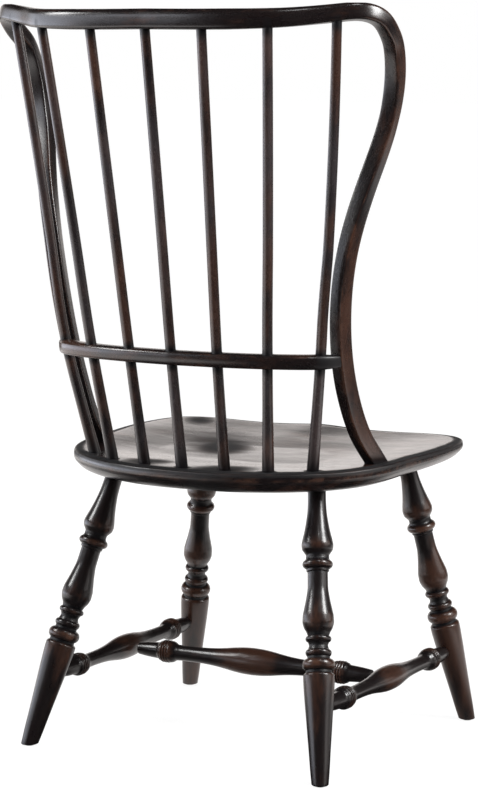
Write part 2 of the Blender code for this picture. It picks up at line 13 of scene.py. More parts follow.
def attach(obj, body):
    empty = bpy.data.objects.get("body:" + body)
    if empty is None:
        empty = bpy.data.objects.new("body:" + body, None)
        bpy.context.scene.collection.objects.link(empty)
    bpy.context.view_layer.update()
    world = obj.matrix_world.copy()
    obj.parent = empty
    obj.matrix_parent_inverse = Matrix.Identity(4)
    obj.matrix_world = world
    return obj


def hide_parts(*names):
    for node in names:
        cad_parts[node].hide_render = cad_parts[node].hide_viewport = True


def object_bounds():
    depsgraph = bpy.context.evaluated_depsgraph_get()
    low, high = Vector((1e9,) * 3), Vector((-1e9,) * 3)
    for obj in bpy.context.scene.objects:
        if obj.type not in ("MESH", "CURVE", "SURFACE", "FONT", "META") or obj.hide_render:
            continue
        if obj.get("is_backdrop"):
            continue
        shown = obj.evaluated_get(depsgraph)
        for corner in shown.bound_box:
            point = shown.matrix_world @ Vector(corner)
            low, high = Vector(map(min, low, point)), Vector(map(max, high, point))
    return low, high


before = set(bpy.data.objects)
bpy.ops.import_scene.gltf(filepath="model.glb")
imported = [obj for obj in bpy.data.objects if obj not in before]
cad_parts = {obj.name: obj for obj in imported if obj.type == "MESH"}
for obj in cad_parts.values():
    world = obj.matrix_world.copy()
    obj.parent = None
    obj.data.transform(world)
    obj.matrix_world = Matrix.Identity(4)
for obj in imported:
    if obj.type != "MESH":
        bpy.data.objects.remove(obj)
cad_low, cad_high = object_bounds()

# camera and studio
IMAGE = (478, 792)                                # pixels across and down
CAMERA_PLACE = Vector((-2.19856, 3.86370, 1.07124))
CAMERA_AZIMUTH = math.radians(209.46)
CAMERA_ELEVATION = math.radians(7.28)
CAMERA_ROLL = math.radians(0.138)
FOCAL_PIXELS = 2935.79
OPTICAL_CENTRE = (251.095, 413.536)               # pixel that the camera points at
SENSOR = 36.0

# sizes of the chair, as in the solids
SEAT_Z = 0.4440              # top of the seat where the middle spindle stands
SEAT_TILT = 0.037
SEAT_REF_Y = 0.176
SEAT_THICK = 0.0335
FRONT_THIN = 0.11
SADDLE_DEPTH = 0.0085
SEAT_CENTRE = (0.0, -0.040)
LEG_TOP_Z = 0.400
LEG_TENON_END = SEAT_Z - 0.0155
FOOT_Z = 0.0022
LEG_FEET = {"rear": (0.2521, 0.2126), "front": (0.2557, -0.2760)}
LEG_TOPS = {"rear": (0.1772, 0.0870), "front": (0.1852, -0.2006)}
LEG_TONE = {("rear", "left"): -0.18, ("rear", "right"): -0.04,
            ("front", "left"): 0.50, ("front", "right"): 0.50}   # how brown each leg is
STRETCH_Z = {"rear": 0.1060, "front": 0.1149}
STRETCH_IN_LEG = 0.0040
CENTRE_IN_SIDE = 0.0060
RAIL_Z = SEAT_Z + 0.1652
RAIL_HEIGHT = 0.0217
RAIL_DEPTH = 0.0240
RAIL_ARRIS = 0.0045
RAIL_LEAN = 0.07             # its rear face looks a little upward
POST_ACROSS = 0.0244
POST_DEEP = 0.0228
CREST_TALL = 0.0296
CORNER_TALL = 0.0250
POST_FOOT_DEEP = 0.0252
BOW_ARRIS = 0.0048
POST_ARRIS = 0.0030          # the edges are crisper on the posts than on the crest
BOW_CROWN = 0.0012           # how much the crest's faces are domed
POST_CROWN = 0.0003
CREST_EASE = 1.45            # the crest's inner edges are this much rounder than its outer ones
BOX_GAP = 0.0001             # the bow stays this far inside the solids' reach

# Outlines of the turned pieces: distance along the axis, radius. Legs start at the floor, the
# stretchers at their middle. The second list gives the distances where the outline has a corner.
LEG_PROFILE = [
    (-0.010, 0.0116), (0.000, 0.0123), (0.024, 0.0143), (0.052, 0.0161), (0.095, 0.0192),
    (0.138, 0.0223), (0.156, 0.0231), (0.1610, 0.0230), (0.1632, 0.0217),
    (0.1650, 0.0192), (0.1682, 0.0190), (0.1700, 0.0213), (0.1735, 0.0235), (0.1772, 0.0240),
    (0.1810, 0.0231), (0.1845, 0.0203), (0.1860, 0.0168), (0.1888, 0.0165), (0.1908, 0.0182),
    (0.1946, 0.0193), (0.1978, 0.0181), (0.1996, 0.0155), (0.2050, 0.0139), (0.2100, 0.0156),
    (0.2118, 0.0182), (0.2148, 0.0191), (0.2178, 0.0180), (0.2194, 0.0156), (0.2240, 0.0172),
    (0.2315, 0.0212), (0.2400, 0.0232), (0.2480, 0.0229), (0.2575, 0.0211), (0.2735, 0.0177),
    (0.2920, 0.0152), (0.3135, 0.0150), (0.3150, 0.0168), (0.3182, 0.0169),
    (0.3192, 0.0188), (0.3215, 0.0214), (0.3251, 0.0225), (0.3287, 0.0214), (0.3312, 0.0186),
    (0.3340, 0.0171), (0.3385, 0.0171), (0.3425, 0.0196), (0.3475, 0.0227), (0.3535, 0.0235),
    (0.3600, 0.0225), (0.3710, 0.0198), (0.3860, 0.0168), (0.4060, 0.0141),
    (0.4240, 0.0134), (0.4700, 0.0134),
]
LEG_CORNERS = [0.1650, 0.1682, 0.1860, 0.1888, 0.1996, 0.2100, 0.2194, 0.3135, 0.3150, 0.3182,
               0.3192, 0.3312]
SIDE_PROFILE = [
    (0.000, 0.0189), (0.012, 0.0185), (0.026, 0.0171), (0.042, 0.0147), (0.060, 0.0125),
    (0.080, 0.0113), (0.100, 0.0109), (0.116, 0.0110), (0.1235, 0.0117), (0.1270, 0.0138),
    (0.1300, 0.0158), (0.1335, 0.0166), (0.1347, 0.0157), (0.1360, 0.0171), (0.1370, 0.0175),
    (0.1380, 0.0171), (0.1392, 0.0157), (0.1405, 0.0172), (0.1415, 0.0176), (0.1425, 0.0172),
    (0.1437, 0.0157), (0.1450, 0.0169), (0.1460, 0.0173), (0.1470, 0.0169), (0.1482, 0.0159),
    (0.1510, 0.0155), (0.1535, 0.0137), (0.1560, 0.0130), (0.1760, 0.0116), (0.1910, 0.0095),
]
SIDE_CORNERS = [0.1235, 0.1347, 0.1392, 0.1437, 0.1482, 0.1560]
CENTRE_PROFILE = [
    (0.000, 0.0213), (0.014, 0.0208), (0.030, 0.0192), (0.048, 0.0165), (0.066, 0.0142),
    (0.086, 0.0127), (0.106, 0.0121), (0.126, 0.0121), (0.1370, 0.0126), (0.1405, 0.0143),
    (0.1435, 0.0162), (0.1475, 0.0170), (0.1487, 0.0160), (0.1500, 0.0174), (0.1510, 0.0178),
    (0.1520, 0.0174), (0.1532, 0.0160), (0.1545, 0.0175), (0.1555, 0.0179), (0.1565, 0.0175),
    (0.1577, 0.0160), (0.1590, 0.0173), (0.1600, 0.0177), (0.1610, 0.0173), (0.1622, 0.0162),
    (0.1650, 0.0158), (0.1675, 0.0139), (0.1700, 0.0130), (0.1900, 0.0115), (0.2060, 0.0095),
]
CENTRE_CORNERS = [0.1370, 0.1487, 0.1532, 0.1577, 0.1622, 0.1700]

# Spindles of the left half: (x, y) at the seat, at the mid rail and at the crest, and how far
# the upper part bows sideways and back.
SPINDLES = [
    ((0.1885, 0.1215), (0.2182, 0.1545), (0.2690, 0.2068), (0.0012, -0.0055)),
    ((0.1340, 0.1576), (0.1496, 0.1889), (0.1880, 0.2605), (0.0000, -0.0015)),
    ((0.0688, 0.1725), (0.0745, 0.2042), (0.0927, 0.2805), (0.0000, 0.0000)),
    ((0.0000, 0.1790), (0.0000, 0.2093), (0.0000, 0.2810), (0.0000, -0.0005)),
]
SPINDLE_IN_SEAT = 0.016
SPINDLE_IN_CREST = 0.010
SPINDLE_BEND = 0.060
SPINDLE_UNEVEN = 0.010       # share by which a whittled spindle is out of round
SPINDLE_RADII = [(-0.024, 0.0090), (0.006, 0.0090), (0.036, 0.0085), (0.086, 0.0080),
                 (0.136, 0.0078), (0.196, 0.0077), (0.406, 0.0075), (0.676, 0.0072)]

# Bow centre line, left half, from the middle of the crest round the corner to the seat:
# x, y, height above SEAT_Z, and the direction its flat outer face looks in, in degrees from +X.
BOW = [
    (0.0000, 0.2810, 0.6545, 90), (0.0800, 0.2810, 0.6540, 87), (0.1500, 0.2720, 0.6545, 77),
    (0.1980, 0.2525, 0.6560, 62), (0.2335, 0.2265, 0.6590, 50), (0.2700, 0.2037, 0.6632, 44),
    (0.2992, 0.1838, 0.6645, 40), (0.3126, 0.1615, 0.6565, 32), (0.3153, 0.1372, 0.6380, 23),
    (0.3124, 0.1178, 0.6210, 17), (0.3089, 0.1038, 0.5930, 12), (0.3039, 0.0963, 0.5590, 7),
    (0.2957, 0.0952, 0.5160, -6), (0.2754, 0.1176, 0.4280, 0), (0.2527, 0.1362, 0.3310, 16),
    (0.2390, 0.1330, 0.2360, 16), (0.2330, 0.1070, 0.1360, 21), (0.2335, 0.0840, 0.0860, 25),
    (0.2360, 0.0610, 0.0485, 25), (0.2395, 0.0240, 0.0100, 25), (0.2415, 0.0040, -0.0110, 25),
]
RAIL = [(0.0000, 0.2093), (0.0745, 0.2042), (0.1496, 0.1889), (0.1980, 0.1690),
        (0.2182, 0.1545), (0.2318, 0.1360), (0.2350, 0.1195)]
SEAT_OUTLINE = [
    (0.000, 0.2030), (0.050, 0.2005), (0.100, 0.1910), (0.150, 0.1715), (0.194, 0.1450),
    (0.2312, 0.1120), (0.2568, 0.0705), (0.270, 0.0215), (0.2745, -0.0350), (0.280, -0.0900),
    (0.2805, -0.1500), (0.276, -0.1950), (0.264, -0.2300), (0.243, -0.2510), (0.215, -0.2600),
    (0.182, -0.2620), (0.145, -0.2600), (0.095, -0.2590), (0.045, -0.2630), (0.000, -0.2660),
]
# Blue-black patches of painted shade on the seat, standing in for dark reflections in its
# hollows: middle (x, y), half-widths across and along the slant at which they lie, how dark.
SHADE_PATCH_SLANT = (0.492, -0.871)
SEAT_SHADE_PATCHES = [(0.205, -0.222, 0.030, 0.045, 0.80), (0.060, -0.046, 0.050, 0.085, 0.95),
                (0.085, -0.070, 0.085, 0.150, 0.60), (0.190, 0.060, 0.030, 0.030, 0.30),
                (-0.062, 0.166, 0.062, 0.040, 0.95), (0.074, 0.156, 0.052, 0.040, 0.80)]
# The seat's dish: two hollows for the thighs and a shallower one across the rear.
THIGH_X = 0.108
THIGH_WIDE = 0.120
THIGH_Y = -0.030
THIGH_DEEP = (0.125, 0.200)  # behind its middle and ahead of it
REAR_HOLLOW = 0.55           # its depth as a share of a thigh hollow's
REAR_HOLLOW_Y = 0.020
REAR_HOLLOW_WIDE = 0.170
REAR_HOLLOW_DEEP = 0.115
POMMEL_TALL = 0.0022
POMMEL_WIDE = 0.045
RIM_TALL = 0.0015            # the side rims rise and the front edge falls
FRONT_DROP = 0.0018
FRONT_SOFT = 0.018
# Bull-nosed edge from below and from above: inset from the outline, depth.
SEAT_EDGE_BELOW = [(0.060, SEAT_THICK), (0.028, SEAT_THICK), (0.0145, 0.0300),
                   (0.0070, 0.0240), (0.0015, 0.0175)]
SEAT_EDGE_ABOVE = [(0.0000, 0.0125), (0.0002, 0.0075), (0.0006, 0.0045), (0.0013, 0.0028),
                   (0.0026, 0.0019), (0.0065, 0.0012), (0.0135, 0.0004), (0.0215, 0.0000)]

# how fine the meshes are
TAPER_TOP = 0.165            # the tapered foot of a leg ends here
AROUND_LEG = 44
AROUND_STRETCH = 36
AROUND_SPINDLE = 22
CORNER_STEPS = 5             # faces round each rounded arris of the bow and the rail
SIDE_STEPS = 4               # and across each of their slightly domed sides
TURN_STEP = 0.0013           # longest step along a curved part of a turned outline
NOSE_RINGS = 44              # rings over the seat's rounded edge
NOSE_BLEND = 13              # the first of them pass from the plank's side to its dished top
SHARP_ANGLE = math.radians(38)
RELIEF_STEP = 0.00025        # how finely a turned outline is searched for beads and grooves

# Radius round a spindle's centre line at which its grime starts, and how far it fades.
BOW_GRIME = (0.0066, 0.006)
RAIL_GRIME = (0.0072, 0.006)
SEAT_GRIME = (0.0087, 0.005)


# materials
class Graph:
    """Short calls for building a material or world node tree."""

    def __init__(self, tree):
        self.tree = tree
        self.tree.nodes.clear()

    def add(self, kind, **settings):
        """Make a node; settings with a name in its inputs set or link them."""
        node = self.tree.nodes.new(kind)
        for key, value in settings.items():
            if hasattr(node, key) and key not in node.inputs:
                setattr(node, key, value)
            else:
                self.feed(node.inputs[key], value)
        return node

    def feed(self, socket, value):
        """Link an output to a socket, or write a value into it."""
        if isinstance(value, bpy.types.NodeSocket):
            self.tree.links.new(value, socket)
        else:
            socket.default_value = value

    def math(self, operation, first, second=0.0, clamp=False):
        """A Math node's result."""
        node = self.tree.nodes.new("ShaderNodeMath")
        node.operation = operation
        node.use_clamp = clamp
        self.feed(node.inputs[0], first)
        self.feed(node.inputs[1], second)
        return node.outputs[0]

    def ramp(self, value, low, high, out_low=0.0, out_high=1.0):
        """A smooth step from out_low to out_high as value goes from low to high."""
        node = self.tree.nodes.new("ShaderNodeMapRange")
        node.interpolation_type = "SMOOTHSTEP"
        for key, number in (("Value", value), ("From Min", low), ("From Max", high),
                            ("To Min", out_low), ("To Max", out_high)):
            self.feed(node.inputs[key], number)
        return node.outputs["Result"]

    def stretch(self, vector, factors):
        """The vector with each coordinate multiplied."""
        node = self.tree.nodes.new("ShaderNodeVectorMath")
        node.operation = "MULTIPLY"
        self.feed(node.inputs[0], vector)
        node.inputs[1].default_value = factors
        return node.outputs[0]

    def noise(self, vector, scale, detail=3.0, roughness=0.5):
        """Value noise between 0 and 1."""
        node = self.add("ShaderNodeTexNoise", Vector=vector, Scale=scale, Detail=detail,
                        Roughness=roughness)
        return node.outputs["Fac"]

    def along(self, vector, axis):
        """How far the vector reaches along an axis."""
        node = self.add("ShaderNodeVectorMath", operation="DOT_PRODUCT")
        self.feed(node.inputs[0], vector)
        node.inputs[1].default_value = axis
        return node.outputs["Value"]

    def blend(self, share, first, second):
        """Two colours mixed by share."""
        node = self.tree.nodes.new("ShaderNodeMix")
        node.data_type = "RGBA"
        self.feed(node.inputs["Factor"], share)
        for socket, value in ((node.inputs[6], first), (node.inputs[7], second)):
            self.feed(socket, value if isinstance(value, bpy.types.NodeSocket) else (*value, 1.0))
        return node.outputs[2]

    def choose(self, share, first, second):
        """Two shaders mixed by share."""
        node = self.tree.nodes.new("ShaderNodeMixShader")
        for socket, value in zip(node.inputs, (share, first, second)):
            self.feed(socket, value)
        return node.outputs[0]


BLACK = (0.0060, 0.0042, 0.0044)
BROWN = (0.034, 0.0145, 0.0090)
WORN = (0.105, 0.046, 0.026)
# soot of pores and dirt, also the colour of the painted shade on the seat
SOOT_AND_SHADE = (0.0031, 0.0028, 0.0036)
# grey of the painted sheen that stands in for pale reflections
SHEEN_GREY = (0.034, 0.029, 0.031)
STEEL_CLEAN = (0.42, 0.41, 0.40)
STEEL_RUST = (0.14, 0.085, 0.05)


def espresso(name, wear_gain=1.0, warmth=0.35, streaks=0.5, roughness=0.30, ripple=0.0,
             matt=0.16, painted_sheen=0.0):
    """Near-black stain over brown wood, satin; attributes say where it is warm, where worn,
    where it is dirty and where shade is painted dark on it.

    The dirt and the painted shade are duller by matt. A grey haze is painted over the stain in
    patches: a painted sheen standing in for pale reflections.
    """
    material = bpy.data.materials.new(name)
    material.use_nodes = True
    g = Graph(material.node_tree)
    grain = g.add("ShaderNodeAttribute", attribute_name="grain").outputs["Vector"]
    wear = g.add("ShaderNodeAttribute", attribute_name="wear").outputs["Fac"]
    dirt_and_shade = g.add("ShaderNodeAttribute", attribute_name="dirt_and_shade").outputs["Fac"]
    warm = g.add("ShaderNodeAttribute", attribute_name="warm").outputs["Fac"]

    cloud = g.noise(g.stretch(grain, (1.0, 1.0, 0.30)), 34.0, 5.0, 0.62)
    streak = g.noise(g.stretch(grain, (1.0, 1.0, 0.045)), 330.0, 3.0, 0.6)
    pore = g.noise(g.stretch(grain, (1.0, 1.0, 0.03)), 1500.0, 2.0, 0.5)
    rub = g.noise(g.stretch(grain, (1.0, 1.0, 0.45)), 75.0, 5.0, 0.65)

    tone = g.math("ADD", g.math("MULTIPLY", g.math("SUBTRACT", cloud, 0.5), 2.8), warm)
    tone = g.ramp(tone, 0.55 - warmth * 0.5, 1.25 - warmth * 0.5)
    lines = g.math("MULTIPLY", g.ramp(streak, 0.42, 0.68, 0.0, streaks), 0.30)
    tone = g.math("MULTIPLY", tone, g.math("SUBTRACT", 1.0, lines))
    tone = g.math("ADD", tone, g.math("MULTIPLY", lines, 0.35), clamp=True)
    colour = g.blend(tone, BLACK, BROWN)

    rubbed = g.math("MULTIPLY", wear, wear_gain)
    rubbed = g.math("ADD", rubbed, g.math("SUBTRACT", rub, 0.62))
    rubbed = g.ramp(rubbed, 0.08, 0.75)
    rubbed = g.math("MULTIPLY", rubbed, g.ramp(streak, 0.30, 0.62, 0.55, 1.0))
    colour = g.blend(rubbed, colour, WORN)
    colour = g.blend(g.ramp(pore, 0.60, 0.72, 0.0, 0.55), colour, SOOT_AND_SHADE)
    # painted sheen: a grey haze over the stain, in patches, standing in for pale reflections
    if painted_sheen:
        sheen_cloud = g.noise(g.stretch(grain, (1.0, 1.0, 0.22)), 21.0, 3.0, 0.5)
        colour = g.blend(g.ramp(sheen_cloud, 0.38, 0.62, 0.10, painted_sheen), colour, SHEEN_GREY)

    specks = g.add("ShaderNodeTexVoronoi", feature="F1", Vector=grain, Scale=75.0)
    keep = g.math("GREATER_THAN", g.add("ShaderNodeSeparateColor",
                                         Color=specks.outputs["Color"]).outputs[0], 0.80)
    pit = g.math("MULTIPLY", g.ramp(specks.outputs["Distance"], 0.045, 0.075, 1.0, 0.0), keep)
    # real dirt and, on the seat, painted shade darken the colour towards soot and dull the coat
    uneven = g.math("ADD", dirt_and_shade, g.math("MULTIPLY", g.math("SUBTRACT", cloud, 0.5), 0.55))
    grime_and_shade = g.math("MAXIMUM", g.ramp(uneven, 0.20, 0.95), g.math("MULTIPLY", pit, 0.9))
    colour = g.blend(grime_and_shade, colour, SOOT_AND_SHADE)

    gloss = g.math("ADD", roughness - 0.09, g.math("MULTIPLY", rub, 0.16))
    gloss = g.math("ADD", gloss, g.math("MULTIPLY", grime_and_shade, matt), clamp=True)

    height = g.math("MULTIPLY", g.ramp(pore, 0.58, 0.74), -0.25)
    height = g.math("ADD", height, g.math("MULTIPLY", streak, 0.35))
    height = g.math("ADD", height, g.math("MULTIPLY", pit, -2.2))
    bump = g.add("ShaderNodeBump", Height=height, Strength=0.30, Distance=0.00022)
    normal = bump.outputs["Normal"]
    if ripple:
        wave = g.noise(g.stretch(grain, (1.0, 1.0, 0.55)), 20.0, 2.0, 0.4)
        carve = g.add("ShaderNodeBump", Height=wave, Strength=1.0, Distance=ripple,
                      Normal=normal)
        normal = carve.outputs["Normal"]
    shader = g.add("ShaderNodeBsdfPrincipled", Roughness=gloss, Normal=normal)
    g.feed(shader.inputs["Base Color"], colour)
    shader.inputs["IOR"].default_value = 1.5
    g.feed(shader.inputs["Coat Weight"], g.ramp(grime_and_shade, 0.0, 1.0, 0.30, 0.02))
    shader.inputs["Coat Roughness"].default_value = 0.22
    shader.inputs["Coat IOR"].default_value = 1.5
    g.add("ShaderNodeOutputMaterial", Surface=shader.outputs[0])
    return material


def dull_steel():
    """Plated steel of the glides, scuffed by the floor."""
    material = bpy.data.materials.new("glide_steel_worn")
    material.use_nodes = True
    g = Graph(material.node_tree)
    spot = g.add("ShaderNodeTexCoord").outputs["Object"]
    scuff = g.noise(spot, 900.0, 4.0, 0.6)
    rust = g.noise(spot, 260.0, 3.0, 0.5)
    colour = g.blend(g.ramp(rust, 0.52, 0.75), STEEL_CLEAN, STEEL_RUST)
    shader = g.add("ShaderNodeBsdfPrincipled", Roughness=g.ramp(scuff, 0.3, 0.7, 0.28, 0.62),
                   Metallic=g.ramp(rust, 0.55, 0.80, 1.0, 0.35))
    g.feed(shader.inputs["Base Color"], colour)
    bump = g.add("ShaderNodeBump", Height=scuff, Strength=0.3, Distance=0.0001)
    g.feed(shader.inputs["Normal"], bump.outputs["Normal"])
    g.add("ShaderNodeOutputMaterial", Surface=shader.outputs[0])
    return material


TURNED = espresso("espresso_turned", wear_gain=0.38, warmth=0.50, streaks=0.6, roughness=0.31)
# the spindles get a painted grey sheen in patches
STICK = espresso("espresso_stick", wear_gain=0.80, warmth=0.45, streaks=0.7, roughness=0.28,
                 painted_sheen=0.65)
BENT = espresso("espresso_bent", wear_gain=0.75, warmth=0.45, streaks=0.6, roughness=0.28)
PLANK = espresso("espresso_plank", wear_gain=0.60, warmth=0.35, streaks=0.5, roughness=0.20,
                 ripple=0.0010, matt=0.70)
STEEL = dull_steel()


# mesh helpers
def smooth_line(points, shares):
    """Points of a natural cubic curve through the given points, at shares of its length."""
    p = np.array(points, dtype=float)
    step = np.linalg.norm(np.diff(p, axis=0), axis=1)
    t = np.concatenate([[0.0], np.cumsum(step)])
    n = len(t)
    rows = np.zeros((n, n))
    right = np.zeros((n, p.shape[1]))
    rows[0, 0] = rows[-1, -1] = 1.0
    for i in range(1, n - 1):
        h0 = t[i] - t[i - 1]
        h1 = t[i + 1] - t[i]
        rows[i, i - 1:i + 2] = (h0, 2.0 * (h0 + h1), h1)
        right[i] = 6.0 * ((p[i + 1] - p[i]) / h1 - (p[i] - p[i - 1]) / h0)
    bend = np.linalg.solve(rows, right)
    out = []
    for s in np.asarray(shares) * t[-1]:
        i = int(np.clip(np.searchsorted(t, s) - 1, 0, n - 2))
        h = t[i + 1] - t[i]
        a = (t[i + 1] - s) / h
        b = (s - t[i]) / h
        cubic = (a ** 3 - a) * bend[i] + (b ** 3 - b) * bend[i + 1]
        out.append(a * p[i] + b * p[i + 1] + cubic * h * h / 6.0)
    return np.array(out)


def fine_outline(profile, corners):
    """The outline sampled finely: smooth between corners, without overshoot."""
    pairs = np.array(profile)
    cuts = [0] + [int(np.argmin(abs(pairs[:, 0] - c))) for c in corners] + [len(pairs) - 1]
    out = [tuple(pairs[0])]
    for first, last in zip(cuts[:-1], cuts[1:]):
        x = pairs[first:last + 1, 0]
        y = pairs[first:last + 1, 1]
        rise = np.diff(y) / np.diff(x)
        slope = np.concatenate([[rise[0]], np.zeros(len(x) - 2), [rise[-1]]])
        for i in range(1, len(x) - 1):
            if rise[i - 1] * rise[i] > 0:
                slope[i] = 2.0 * rise[i - 1] * rise[i] / (rise[i - 1] + rise[i])
        for i in range(len(x) - 1):
            gap = x[i + 1] - x[i]
            steps = int(np.clip(round(gap / TURN_STEP), 2, 7))
            for k in range(1, steps + 1):
                u = k / steps
                value = ((1 + 2 * u) * (1 - u) ** 2 * y[i] + u * (1 - u) ** 2 * gap * slope[i]
                         + u * u * (3 - 2 * u) * y[i + 1] - u * u * (1 - u) * gap * slope[i + 1])
                out.append((x[i] + u * gap, value))
    return np.array(out)


def relief(outline):
    """Wear on what stands proud of the outline's run, dirt in what lies below it."""
    fine = np.arange(outline[0, 0], outline[-1, 0], RELIEF_STEP)
    radius = np.interp(fine, outline[:, 0], outline[:, 1])

    def softened(width):
        reach = int(4 * width / RELIEF_STEP)
        kernel = np.exp(-0.5 * (np.arange(-reach, reach + 1) * RELIEF_STEP / width) ** 2)
        padded = np.pad(radius, reach, mode="edge")
        return np.convolve(padded, kernel / kernel.sum(), mode="valid")

    near = (radius - softened(0.004)) / 0.0014
    wide = (radius - softened(0.016)) / 0.0034
    wear = np.clip(np.maximum(near * 0.75, wide), 0.0, 1.0)
    dirt_and_shade = np.clip(-near, 0.0, 1.0)
    return (np.interp(outline[:, 0], fine, wear), np.interp(outline[:, 0], fine, dirt_and_shade))


def skin(name, rings, grain, wear, dirt_and_shade, warm, material):
    """A closed surface over rings of points, with its painted attributes."""
    rings = np.asarray(rings, dtype=float)
    rows, count = rings.shape[:2]
    verts = rings.reshape(-1, 3)
    faces = []
    for i in range(rows - 1):
        for j in range(count):
            k = (j + 1) % count
            faces.append((i * count + j, i * count + k, (i + 1) * count + k, (i + 1) * count + j))
    faces.append(tuple(range(count))[::-1])
    faces.append(tuple((rows - 1) * count + j for j in range(count)))
    mesh = bpy.data.meshes.new(name)
    mesh.from_pydata(verts.tolist(), [], faces)
    mesh.update()
    centre = verts.mean(axis=0)
    volume = 0.0
    for poly in mesh.polygons:
        volume += poly.area * Vector(poly.normal).dot(poly.center - Vector(centre))
    if volume < 0.0:
        mesh.flip_normals()
    paint = mesh.attributes.new("grain", "FLOAT_VECTOR", "POINT")
    paint.data.foreach_set("vector", np.asarray(grain, dtype=np.float32).ravel())
    for label, values in (("wear", wear), ("dirt_and_shade", dirt_and_shade), ("warm", warm)):
        values = np.broadcast_to(values, rings.shape[:2])
        paint = mesh.attributes.new(label, "FLOAT", "POINT")
        paint.data.foreach_set("value", np.asarray(values, dtype=np.float32).ravel())
    mesh.shade_smooth()
    mesh.set_sharp_from_angle(angle=SHARP_ANGLE)
    mesh.materials.append(material)
    piece = bpy.data.objects.new(name, mesh)
    bpy.context.scene.collection.objects.link(piece)
    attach(piece, "root")
    return piece


def offset_of(name):
    """A place in the wood of its own for each piece, so that no two have the same figure."""
    seed = sum((i + 1) * ord(letter) for i, letter in enumerate(name))
    return np.random.default_rng(seed).uniform(-3.0, 3.0, 3)


def turned_piece(name, node, outline, base, tip, around, end_dirt, thick_from, material=TURNED,
                 foot=None, tone=0.0):
    """A lathe-turned piece standing on base and pointing at tip; foot cuts its end level."""
    base = np.array(base)
    axis = np.array(tip) - base
    axis /= np.linalg.norm(axis)
    side = np.cross(axis, (0.0, 0.0, 1.0) if abs(axis[2]) < 0.9 else (1.0, 0.0, 0.0))
    side /= np.linalg.norm(side)
    other = np.cross(axis, side)
    angles = np.linspace(0.0, 2.0 * math.pi, around, endpoint=False)
    spokes = np.cos(angles)[:, None] * side + np.sin(angles)[:, None] * other
    rings = base + outline[:, 0, None, None] * axis + outline[:, 1, None, None] * spokes
    if foot is not None:
        slide = (foot - rings[0, :, 2]) / axis[2]
        rings[0] += slide[:, None] * axis
        lift = np.maximum(foot + 0.0008 - rings[1:, :, 2], 0.0) / axis[2]
        rings[1:] += lift[..., None] * axis
    home = offset_of(name)
    lengthwise = np.broadcast_to(outline[:, 0, None, None], rings[..., :1].shape)
    across = outline[:, 1, None, None] * np.stack([np.cos(angles), np.sin(angles)], 1)
    grain = np.concatenate([across, lengthwise], axis=2) + home
    wear, dirt_and_shade = relief(outline)
    dirt_and_shade = np.maximum(dirt_and_shade, end_dirt(outline[:, 0]))
    thin, thick = thick_from
    warm = np.clip((outline[:, 1] - thin) / (thick - thin), 0.0, 1.0)
    if foot is not None:
        warm = np.maximum(warm, 0.42 * np.clip((TAPER_TOP - outline[:, 0]) / 0.02, 0.0, 1.0))
        lower = np.clip((0.14 - outline[:, 0]) / 0.10, 0.0, 1.0)
        warm = warm + tone - 0.15 * lower
    piece = skin(name, rings, grain, wear[:, None], dirt_and_shade[:, None], warm[:, None], material)
    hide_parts(node)


def section(wide, tall, corner, crown, ease):
    """A rounded rectangle with slightly domed sides, and how near each point is to an arris.

    The two arrises on its second side are rounder, by the factor ease.
    """
    points = []
    edge = []
    sides = ((1, 1, 0.0, corner), (-1, 1, 90.0, corner), (-1, -1, 180.0, corner * ease),
             (1, -1, 270.0, corner * ease))
    for i, (sx, sy, start, bend) in enumerate(sides):
        for k in range(CORNER_STEPS + 1):
            share = k / CORNER_STEPS
            angle = math.radians(start + 90.0 * share)
            points.append((sx * (wide / 2 - bend) + bend * math.cos(angle),
                           sy * (tall / 2 - bend) + bend * math.sin(angle)))
            edge.append(math.sin(math.pi * share))
        first = np.array(points[-1])
        sx, sy, start, bend = sides[(i + 1) % 4]
        angle = math.radians(start)
        last = np.array((sx * (wide / 2 - bend) + bend * math.cos(angle),
                         sy * (tall / 2 - bend) + bend * math.sin(angle)))
        for k in range(1, SIDE_STEPS):
            points.append(tuple(first + (last - first) * k / SIDE_STEPS))
            edge.append(0.0)
    points = np.array(points)
    sink = crown * (points[:, 0] ** 2 / (wide / 2) ** 2) * (points[:, 1] ** 2 / (tall / 2) ** 2)
    flat = points / np.linalg.norm(points, axis=1)[:, None]
    return points - flat * sink[:, None], np.array(edge)


def near_lines(points, lines, radius, reach):
    """1 at points that touch one of the lines with that radius, fading to 0 over reach."""
    points = np.asarray(points)
    best = np.full(points.shape[:-1], 1e9)
    for line in lines:
        for a, b in zip(line[:-1], line[1:]):
            run = b - a
            share = np.clip(((points - a) @ run) / (run @ run), 0.0, 1.0)
            gap = np.linalg.norm(points - a - share[..., None] * run, axis=-1)
            best = np.minimum(best, gap)
    return np.clip(1.0 - (best - radius) / reach, 0.0, 1.0)


# spindles
def crest_bottom(x):
    """Level of the crest's underside at a distance from the middle of the chair."""
    crest = [row for row in BOW if row[2] > 0.60][:8]
    level = np.interp(abs(x), [row[0] for row in crest], [row[2] for row in crest])
    return SEAT_Z + float(level) - CREST_TALL / 2


